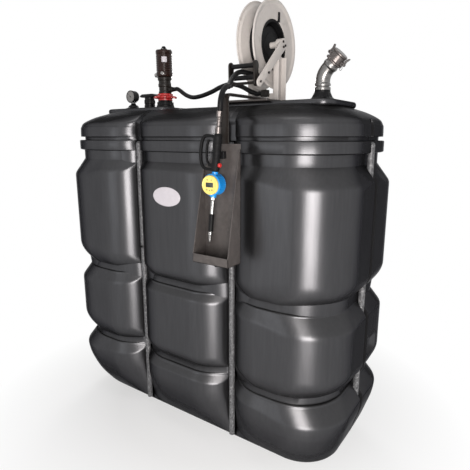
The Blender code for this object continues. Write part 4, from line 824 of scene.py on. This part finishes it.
def build_reel_frame():
    foot = PAD_Z + PLATE_THICK + GAP
    near, far, sheet = REEL_X + REEL_HALF + FRAME_OUT, REEL_X - REEL_HALF - FRAME_OUT, .004
    low_y, high_y, top = REEL_Y - FRAME_HALF, REEL_Y + FRAME_HALF, REEL_Z - .045
    left, right = far - FRAME_SPREAD, near + FRAME_SPREAD
    made = Shape()
    made.grid(block((left, low_y, foot), (right, high_y, foot + sheet), .001, .002))
    for low, high in ((low_y, low_y + sheet), (high_y - sheet, high_y)):
        made.grid(block((far - .0274, low + .0006, foot + .0005), (near + .0274, high - .0006, foot + .04),
                        .001, .002))
    outline = [(low_y, foot + .003), (high_y, foot + .003), (high_y, top - .006), (high_y - .01, top),
               (REEL_Y + .024, top + .004)]
    turn = np.radians(np.linspace(0, 180, 20))
    arch = [(REEL_Y + .024 * math.cos(a), REEL_Z + .024 * math.sin(a)) for a in turn]
    outline += arch + [(REEL_Y - .024, top + .004), (low_y + .01, top), (low_y, top - .006)]
    web = rounded(outline, .0012, True, 3)
    for wall in (near, far - sheet):
        made.grid(slab(web, wall, wall + sheet, .0008, "X"))
    for low, high in ((low_y, low_y + sheet), (high_y - sheet, high_y)):
        made.grid(block((near + .0005, low, foot + .003), (right, high, top - .008), .0012, .0016))
        made.grid(block((left, low, foot + .003), (far - .0005, high, top - .008), .0012, .0016))
    pin = [(.014, far - .002), (.014, near + .002)]
    hub = [(.014, near + .0002), (.024, near + .0008), (.024, near + .026), (.022, near + .028),
           (.004, near + .028)]
    centre = facing((0, REEL_Y, REEL_Z), (1, 0, 0))
    made.grid(turned(pin, .0005, 48), place=centre).grid(turned(hub, .001, 56), place=centre)
    made.piece("reel_frame_pressing", REEL, "reel_frame")


def build_guide():
    spacing, inner, plate_t = .024, .06, .008
    pin = inner + plate_t - .001
    for name, side in (("upper", 1), ("lower", -1)):
        roll = [(.004, -pin), (.004, -.058), (.01, -.058), (.011, -.055), (.011, -.048), (.0102, -.046),
                (.0102, .046), (.011, .048), (.011, .055), (.01, .058), (.004, .058), (.004, pin)]
        centre = facing((GUIDE_X, GUIDE_Y, GUIDE_Z + side * spacing), (1, 0, 0))
        turned_piece("guide_roller_" + name, BLACK, "roller_" + name, roll, .001, 40, centre,
                     body=name + "_roller")
    tie_z = GUIDE_Z - spacing - .011 - .006 - .006
    arm_x = REEL_X + REEL_HALF + FRAME_OUT + FRAME_SPREAD + GAP
    outline = link((GUIDE_Y, tie_z), .015, (GUIDE_Y, GUIDE_Z + spacing + .002), .017)
    made = Shape()
    for low in (GUIDE_X - inner - plate_t, GUIDE_X + inner):
        made.grid(slab(outline, low, low + plate_t, .0016, "X"))
    rod = [(.006, GUIDE_X - inner - .002), (.006, arm_x - GAP)]
    centre = facing((0, GUIDE_Y, tie_z), (1, 0, 0))
    made.grid(turned(rod, .0005, 24), place=centre)
    made.piece("guide_frame_casting", STEEL_BLACK, "guide_frame")
    arm = link((REEL_Y, REEL_Z), .024, (GUIDE_Y, tie_z), .018, 32)
    Shape().grid(slab(arm, arm_x, arm_x + .005, .0012, "X")).piece("guide_arm_pressing", REEL, "guide_arm")
    spots = [(REEL_Y - .01, REEL_Z + .008), (REEL_Y + .01, REEL_Z - .006), (REEL_Y - .006, REEL_Z - .014),
             (GUIDE_Y + .006, tie_z + .004), (GUIDE_Y + .072, tie_z + .046)]
    bolts = bolt_heads(Shape(), spots, .0058, arm_x + .0048, arm_x + .0092, .0006, "X")
    bolts.piece("guide_arm_bolts", STEEL_BLACK)


def build_reel_plate():
    plate = panel((REEL_X - .105, -.19), (REEL_X + .145, .115), .006)
    Shape().grid(slab(plate, FOOT, PAD_Z + PLATE_THICK, .0014)).piece("reel_plate_sheet", TRAY, "reel_plate")
    bolts = Shape()
    for x, y in ((.049, -.17), (.131, -.172), (-.09, -.172), (-.09, .098), (.131, .098)):
        x += REEL_X
        bolts.grid(turned([(.0085, 0), (.0085, .0012), (.0065, .0014), (.001, .0014)], .0004, 28),
                   place=at(x, y, PAD_Z + .0078))
        bolts.grid(slab(hexagon(.0062) + (x, y), PAD_Z + .009, PAD_Z + .0135, .0007))
    bolts.piece("plate_bolts", BRIGHT)
    made = block(inlet + (GAP, -INLET_HALF, -INLET_HALF), inlet + (.03, INLET_HALF, INLET_HALF), .002, .003)
    Shape().grid(made).piece("reel_inlet_block", STEEL_BLACK, "reel_inlet")


build_reel()
build_reel_frame()
build_guide()
build_reel_plate()


# ---- arm, tray and gun
def build_tray():
    foot = PAD_Z + PLATE_THICK + GAP
    front, back = TRAY_Y + .003 + GAP, TRAY_Y + .003 + GAP + .006
    low = TRAY_TOP - .09
    outline = [(front, low), (back, low), (back, foot - .012), (back + .012, foot), (-.115, foot),
               (-.115, foot + .006), (front + .012, foot + .006), (front, foot - .006)]
    strap = Shape().grid(slab(rounded(outline, .006, True, 8), .3225, .3675, .0012, "X"))
    strap.piece("tray_arm_strap", STEEL_BLACK, "tray_arm", slot="tray_paint")
    left, right, foot, top, sheet = .25, .425, .957, TRAY_TOP, .003
    shoulder = (right - .086, top - .095)
    made = Shape()
    plate = rounded([(left, foot), (right, foot), (right, top), (shoulder[0], top), (left, shoulder[1])],
                    .002, True)
    made.grid(slab(plate, TRAY_Y, TRAY_Y + sheet, .0006, "Y"))
    outer, lip = TRAY_Y - .083, foot + .036
    for x, height in ((left, shoulder[1]), (right - sheet, top - .02)):
        flange = rounded([(TRAY_Y + sheet, foot), (TRAY_Y + sheet, height), (TRAY_Y - .006, height),
                          (outer, lip), (outer, foot)], .0025, True)
        made.grid(slab(flange, x, x + sheet, .0006, "X"))
    made.grid(block((left, outer, foot), (right, TRAY_Y + sheet, foot + sheet), .0006, .002))
    made.grid(block((left, outer, foot), (right, outer + sheet, lip), .0006, .002, "Y"))
    made.piece("drip_tray_sheet", TRAY, "drip_tray")
    drain = [(.006, 0), (.009, .002), (.009, .0115), (.012, .0125), (.012, .016)]
    under = at((left + right) / 2, TRAY_Y - .0415, foot - .016 - GAP)
    turned_piece("tray_drain_plug", BLACK, "tray_drain", drain, .0006, 84, under,
                 wave=notched(.0008, 14, 0, high=.012))


def gun_frame():
    down = Vector(GUN_DOWN)
    side = Vector((-1, 0, 0))
    side = (side - down * side.dot(down)).normalized()
    return Matrix.Translation(Vector(GUN_TOP)) @ Matrix((side, down.cross(side), down)).transposed().to_4x4()


def on_handle(path):
    return [(out, GRIP_W + (HANDLE_END - GRIP_W) * share) for out, share in path]


def strip(path, wide, thick, place):
    """A rounded strip carried along a path of pairs in the gun's middle plane."""
    pairs = smooth_route(path, .003)
    spots = np.stack([pairs[:, 0], 0 * pairs[:, 0], pairs[:, 1]], -1)
    section = panel((-thick / 2, -wide / 2), (thick / 2, wide / 2), thick * .4)
    return moved(carried(spots, section, (0, 1, 0)), place)


def build_gun():
    gun = gun_frame()

    def hexed(low, high, size):
        """Wave that cuts six flats between two heights, each at `size` from the axis."""
        flats = lambda t: size / np.cos((t + math.pi / 6) % (math.pi / 3) - math.pi / 6)
        return lambda r, h, t: np.where((h > low) & (h < high), np.minimum(r, flats(t)), r)

    swivel = [(.0075, 0), (.011, .0015), (.011, .022), (.0085, .025), (.008, .03), (.0095, .0325),
              (.0095, .04), (.0078, .043), (.0078, .0565), (.0118, .059), (.012, .061), (.012, .08),
              (.0115, .0837)]
    turned_piece("gun_swivel_union", DULL, "gun_swivel", swivel, .0008, 96, gun,
                 wave=hexed(.0015, .0215, .0096))
    w = np.linspace(GRIP_W, HANDLE_END, 60)
    knots = [GRIP_W, GRIP_W + .004, GRIP_W + .012, .125, .15, .185, .205, .222, HANDLE_END]
    radius = np.interp(w, knots, [.012, .014, .0165, .017, .0162, .015, .0158, .015, .0115])
    groove = .0007 * (np.sin(w * 2 * np.pi / .0052) > .4) * (w > .115) * (w < .18)
    grip = np.stack([radius - groove, w], -1)
    body = Shape().grid(turned(grip, .0006, 48), place=gun)
    guard = on_handle([(.008, .085), (.052, .064), (.071, .169), (.077, .466), (.071, .79), (.052, .939),
                       (.01, .953)])
    body.grid(strip(guard, .013, .011, gun))
    pivot = GRIP_W + (HANDLE_END - GRIP_W) * .84
    for low in (-.0095, .006):
        ear = rounded([(.008, pivot - .008), (.027, pivot - .006), (.032, pivot), (.027, pivot + .006),
                       (.008, pivot + .008)], .002, True)
        body.grid(slab(ear, low, low + .0035, .0008, "Y"), place=gun)
    body.piece("gun_body_casting", SOOT, "gun_body")
    blade = on_handle([(.026, .84), (.04, .762), (.047, .572), (.047, .325), (.041, .169)])
    lever = Shape().grid(strip(blade, .01, .0075, gun))
    across = gun @ at(.026, 0, pivot) @ Matrix.Rotation(math.pi / 2, 4, "X")
    lever.grid(turned([(.0042, -.0047), (.0042, .0047)], .0004, 28), place=across)
    lever.grid(turned([(.002, -.0094), (.002, .0094)], .0003, 20), place=across)
    lever.piece("trigger_blade", SOOT, "trigger", body="trigger_lever")
    spot = gun @ at(-.015 - GAP, 0, GRIP_W + (HANDLE_END - GRIP_W) * .82) @ facing((0, 0, 0), (-1, 0, 0))
    button = [(.008, 0), (.0085, .001), (.0085, .007), (.007, .0088), (.001, .009)]
    turned_piece("gun_button_cap", RED, "gun_button", button, .001, 36, spot)
    build_meter(gun)
    wand = [(.0085, .3243), (.0115, .325), (.0115, .334), (.0092, .3365), (.0085, .34),
            (.0085, SLEEVE_W - GAP)]
    turned_piece("wand_pipe", BRIGHT, "wand", wand, .0008, 96, gun, wave=hexed(.3245, .3345, .01))
    w = np.arange(SLEEVE_W + .003, TIP_W - .003, .0008)
    sleeve = np.stack([.0103 - .0006 * (np.sin(w * 2 * np.pi / .0048) > .2), w], -1)
    sleeve = np.concatenate([[(.009, SLEEVE_W), (.0103, SLEEVE_W + .001)], sleeve,
                             [(.0103, TIP_W - .0015), (.009, TIP_W - GAP)]])
    turned_piece("wand_sleeve_rubber", RUBBER, "wand_sleeve", sleeve, .0003, 40, gun)
    tip = [(.008, TIP_W), (.009, TIP_W + .001), (.009, TIP_W + .012), (.007, TIP_W + .018),
           (.0048, GUN_LENGTH - .004), (.003, GUN_LENGTH)]
    turned_piece("wand_tip_nozzle", BRIGHT, "wand_tip", tip, .0008, 40, gun)
    low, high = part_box("gun_rest")
    saddle = block((low.x, max(low.y, TRAY_Y - .02), low.z), high)
    Shape().grid(saddle).piece("gun_rest_saddle", BLACK, "gun_rest")


def build_meter(gun):
    centre = gun @ Vector((0, 0, METER_W))
    front = facing(centre, (0, -1, 0))
    shell = [(.03, -.0315), (.038, -.026), (.04, -.0215), (.0412, -.02), (.0412, .0145), (.042, .0155),
             (.042, .0192), (.04, .0195)]
    ribs = notched(.0011, 36, .35, high=.015, inner=.0408)
    body = Shape().grid(turned(shell, .0012, 216, wave=ribs), place=front)
    body.grid(turned([(.0115, METER_W - .049), (.0125, METER_W - .048), (.0125, METER_W + .048),
                      (.0115, METER_W + .049)], .0008, 40), place=gun)
    body.piece("meter_body_casting", BLUE, "meter_body")
    cover = [(.036, .0198), (.0374, .0206), (.0374, .0275), (.0352, .0312), (.0318, .0315), (.0305, .0298),
             (.002, .0298)]
    turned_piece("meter_cover_bezel", YELLOW, "meter_cover", cover, .0008, 96, front)
    window = Shape().grid(block((-.0175, -.0085, .0292), (.0175, .0095, .0306), .0004, .0015), place=front)
    window.piece("meter_display", GLASS)
    keys = Shape()
    for x, y in ((-.012, -.0185), (0, -.0205), (.012, -.0185), (-.01, .0195), (.01, .0195)):
        keys.grid(turned([(.0026, .0294), (.0026, .0303), (.0018, .0307), (.0004, .0308)], .0003, 20),
                  place=front @ at(x, y, 0))
    keys.piece("meter_keys", DULL)


build_tray()
build_gun()

for name, skin in (("suction_tube", ZINC), ("cam_lever_upper", DULL), ("cam_lever_lower", DULL)):
    NODES[name].data.materials.clear()
    NODES[name].data.materials.append(skin)


# ---- floor, light and background
def seen_rays(tree):
    """1 for camera, glossy and transmission rays, so that a white behind the object lights nothing."""
    rays = add_node(tree, "LightPath")
    value = rays.outputs["Is Camera Ray"]
    for kind in ("Is Glossy Ray", "Is Transmission Ray"):
        most = add_node(tree, "Math", "MAXIMUM")
        tree.links.new(value, most.inputs[0])
        tree.links.new(rays.outputs[kind], most.inputs[1])
        value = most.outputs[0]
    return value


def build_floor():
    """Disc of pale floor that stays white far away and keeps the shadow near the tank."""
    ring = [(x, y, -.00005) for x, y in polar(30, full_turn(64))]
    mesh = bpy.data.meshes.new("floor")
    mesh.from_pydata(ring, [], [list(range(64))])
    pale = bpy.data.materials.new("pale_floor")
    pale.use_nodes = True
    tree = pale.node_tree
    shader = tree.nodes["Principled BSDF"]
    shader.inputs["Base Color"].default_value = (.86, .86, .86, 1)
    shader.inputs["Roughness"].default_value = .9
    shader.inputs["Specular IOR Level"].default_value = 0.0
    glow = add_node(tree, "Emission")
    place = add_node(tree, "TexCoord")
    length = add_node(tree, "VectorMath", "LENGTH")
    fade = add_node(tree, "MapRange", From_Min=.55, From_Max=1.3, To_Min=.45, To_Max=1.0)
    mix = add_node(tree, "MixShader")
    shown = add_node(tree, "Math", "MULTIPLY")
    for source, target in ((place.outputs["Object"], length.inputs[0]),
                           (length.outputs["Value"], fade.inputs["Value"]),
                           (fade.outputs["Result"], shown.inputs[0]),
                           (seen_rays(tree), shown.inputs[1]),
                           (shown.outputs[0], mix.inputs["Fac"]),
                           (shader.outputs[0], mix.inputs[1]),
                           (glow.outputs[0], mix.inputs[2]),
                           (mix.outputs[0], tree.nodes["Material Output"].inputs["Surface"])):
        tree.links.new(source, target)
    mesh.materials.append(pale)
    new_object("floor", mesh)


def lamp(name, place, target, size, power, colour):
    data = bpy.data.lights.new(name, "AREA")
    data.shape = "RECTANGLE"
    data.size, data.size_y = size
    data.energy = power
    data.color = colour
    made = new_object(name, data)
    made.location = place
    made.rotation_euler = (Vector(target) - Vector(place)).to_track_quat("-Z", "Y").to_euler()


build_floor()
lamp("key", (1.86, -2.54, 1.02), (.2, -.2, .95), (1.15, 1.9), 150, (1.0, .955, .92))
lamp("side", (-.8, -3.0, 1.15), (.4, -.3, .95), (1.2, 1.6), 7, (.95, .98, 1.0))
lamp("top", (.2, -.6, 4.0), (0.0, 0.0, 1.4), (1.6, 1.0), 14, (1.0, .98, .97))
lamp("back", (-2.0, 2.6, 1.3), (-.1, .2, .95), (1.0, 1.8), 70, (1.0, .98, .97))

world = bpy.data.worlds.new("studio")
bpy.context.scene.world = world
world.use_nodes = True
tree = world.node_tree
dim = tree.nodes["Background"]
dim.inputs["Color"].default_value = (.9, .95, 1.0, 1)
dim.inputs["Strength"].default_value = .16
white = add_node(tree, "Background", Color=(1, 1, 1, 1), Strength=1.0)
pick = add_node(tree, "MixShader")
tree.links.new(seen_rays(tree), pick.inputs["Fac"])
tree.links.new(dim.outputs[0], pick.inputs[1])
tree.links.new(white.outputs[0], pick.inputs[2])
tree.links.new(pick.outputs[0], tree.nodes["World Output"].inputs["Surface"])

bpy.context.scene.view_settings.view_transform = "Standard"
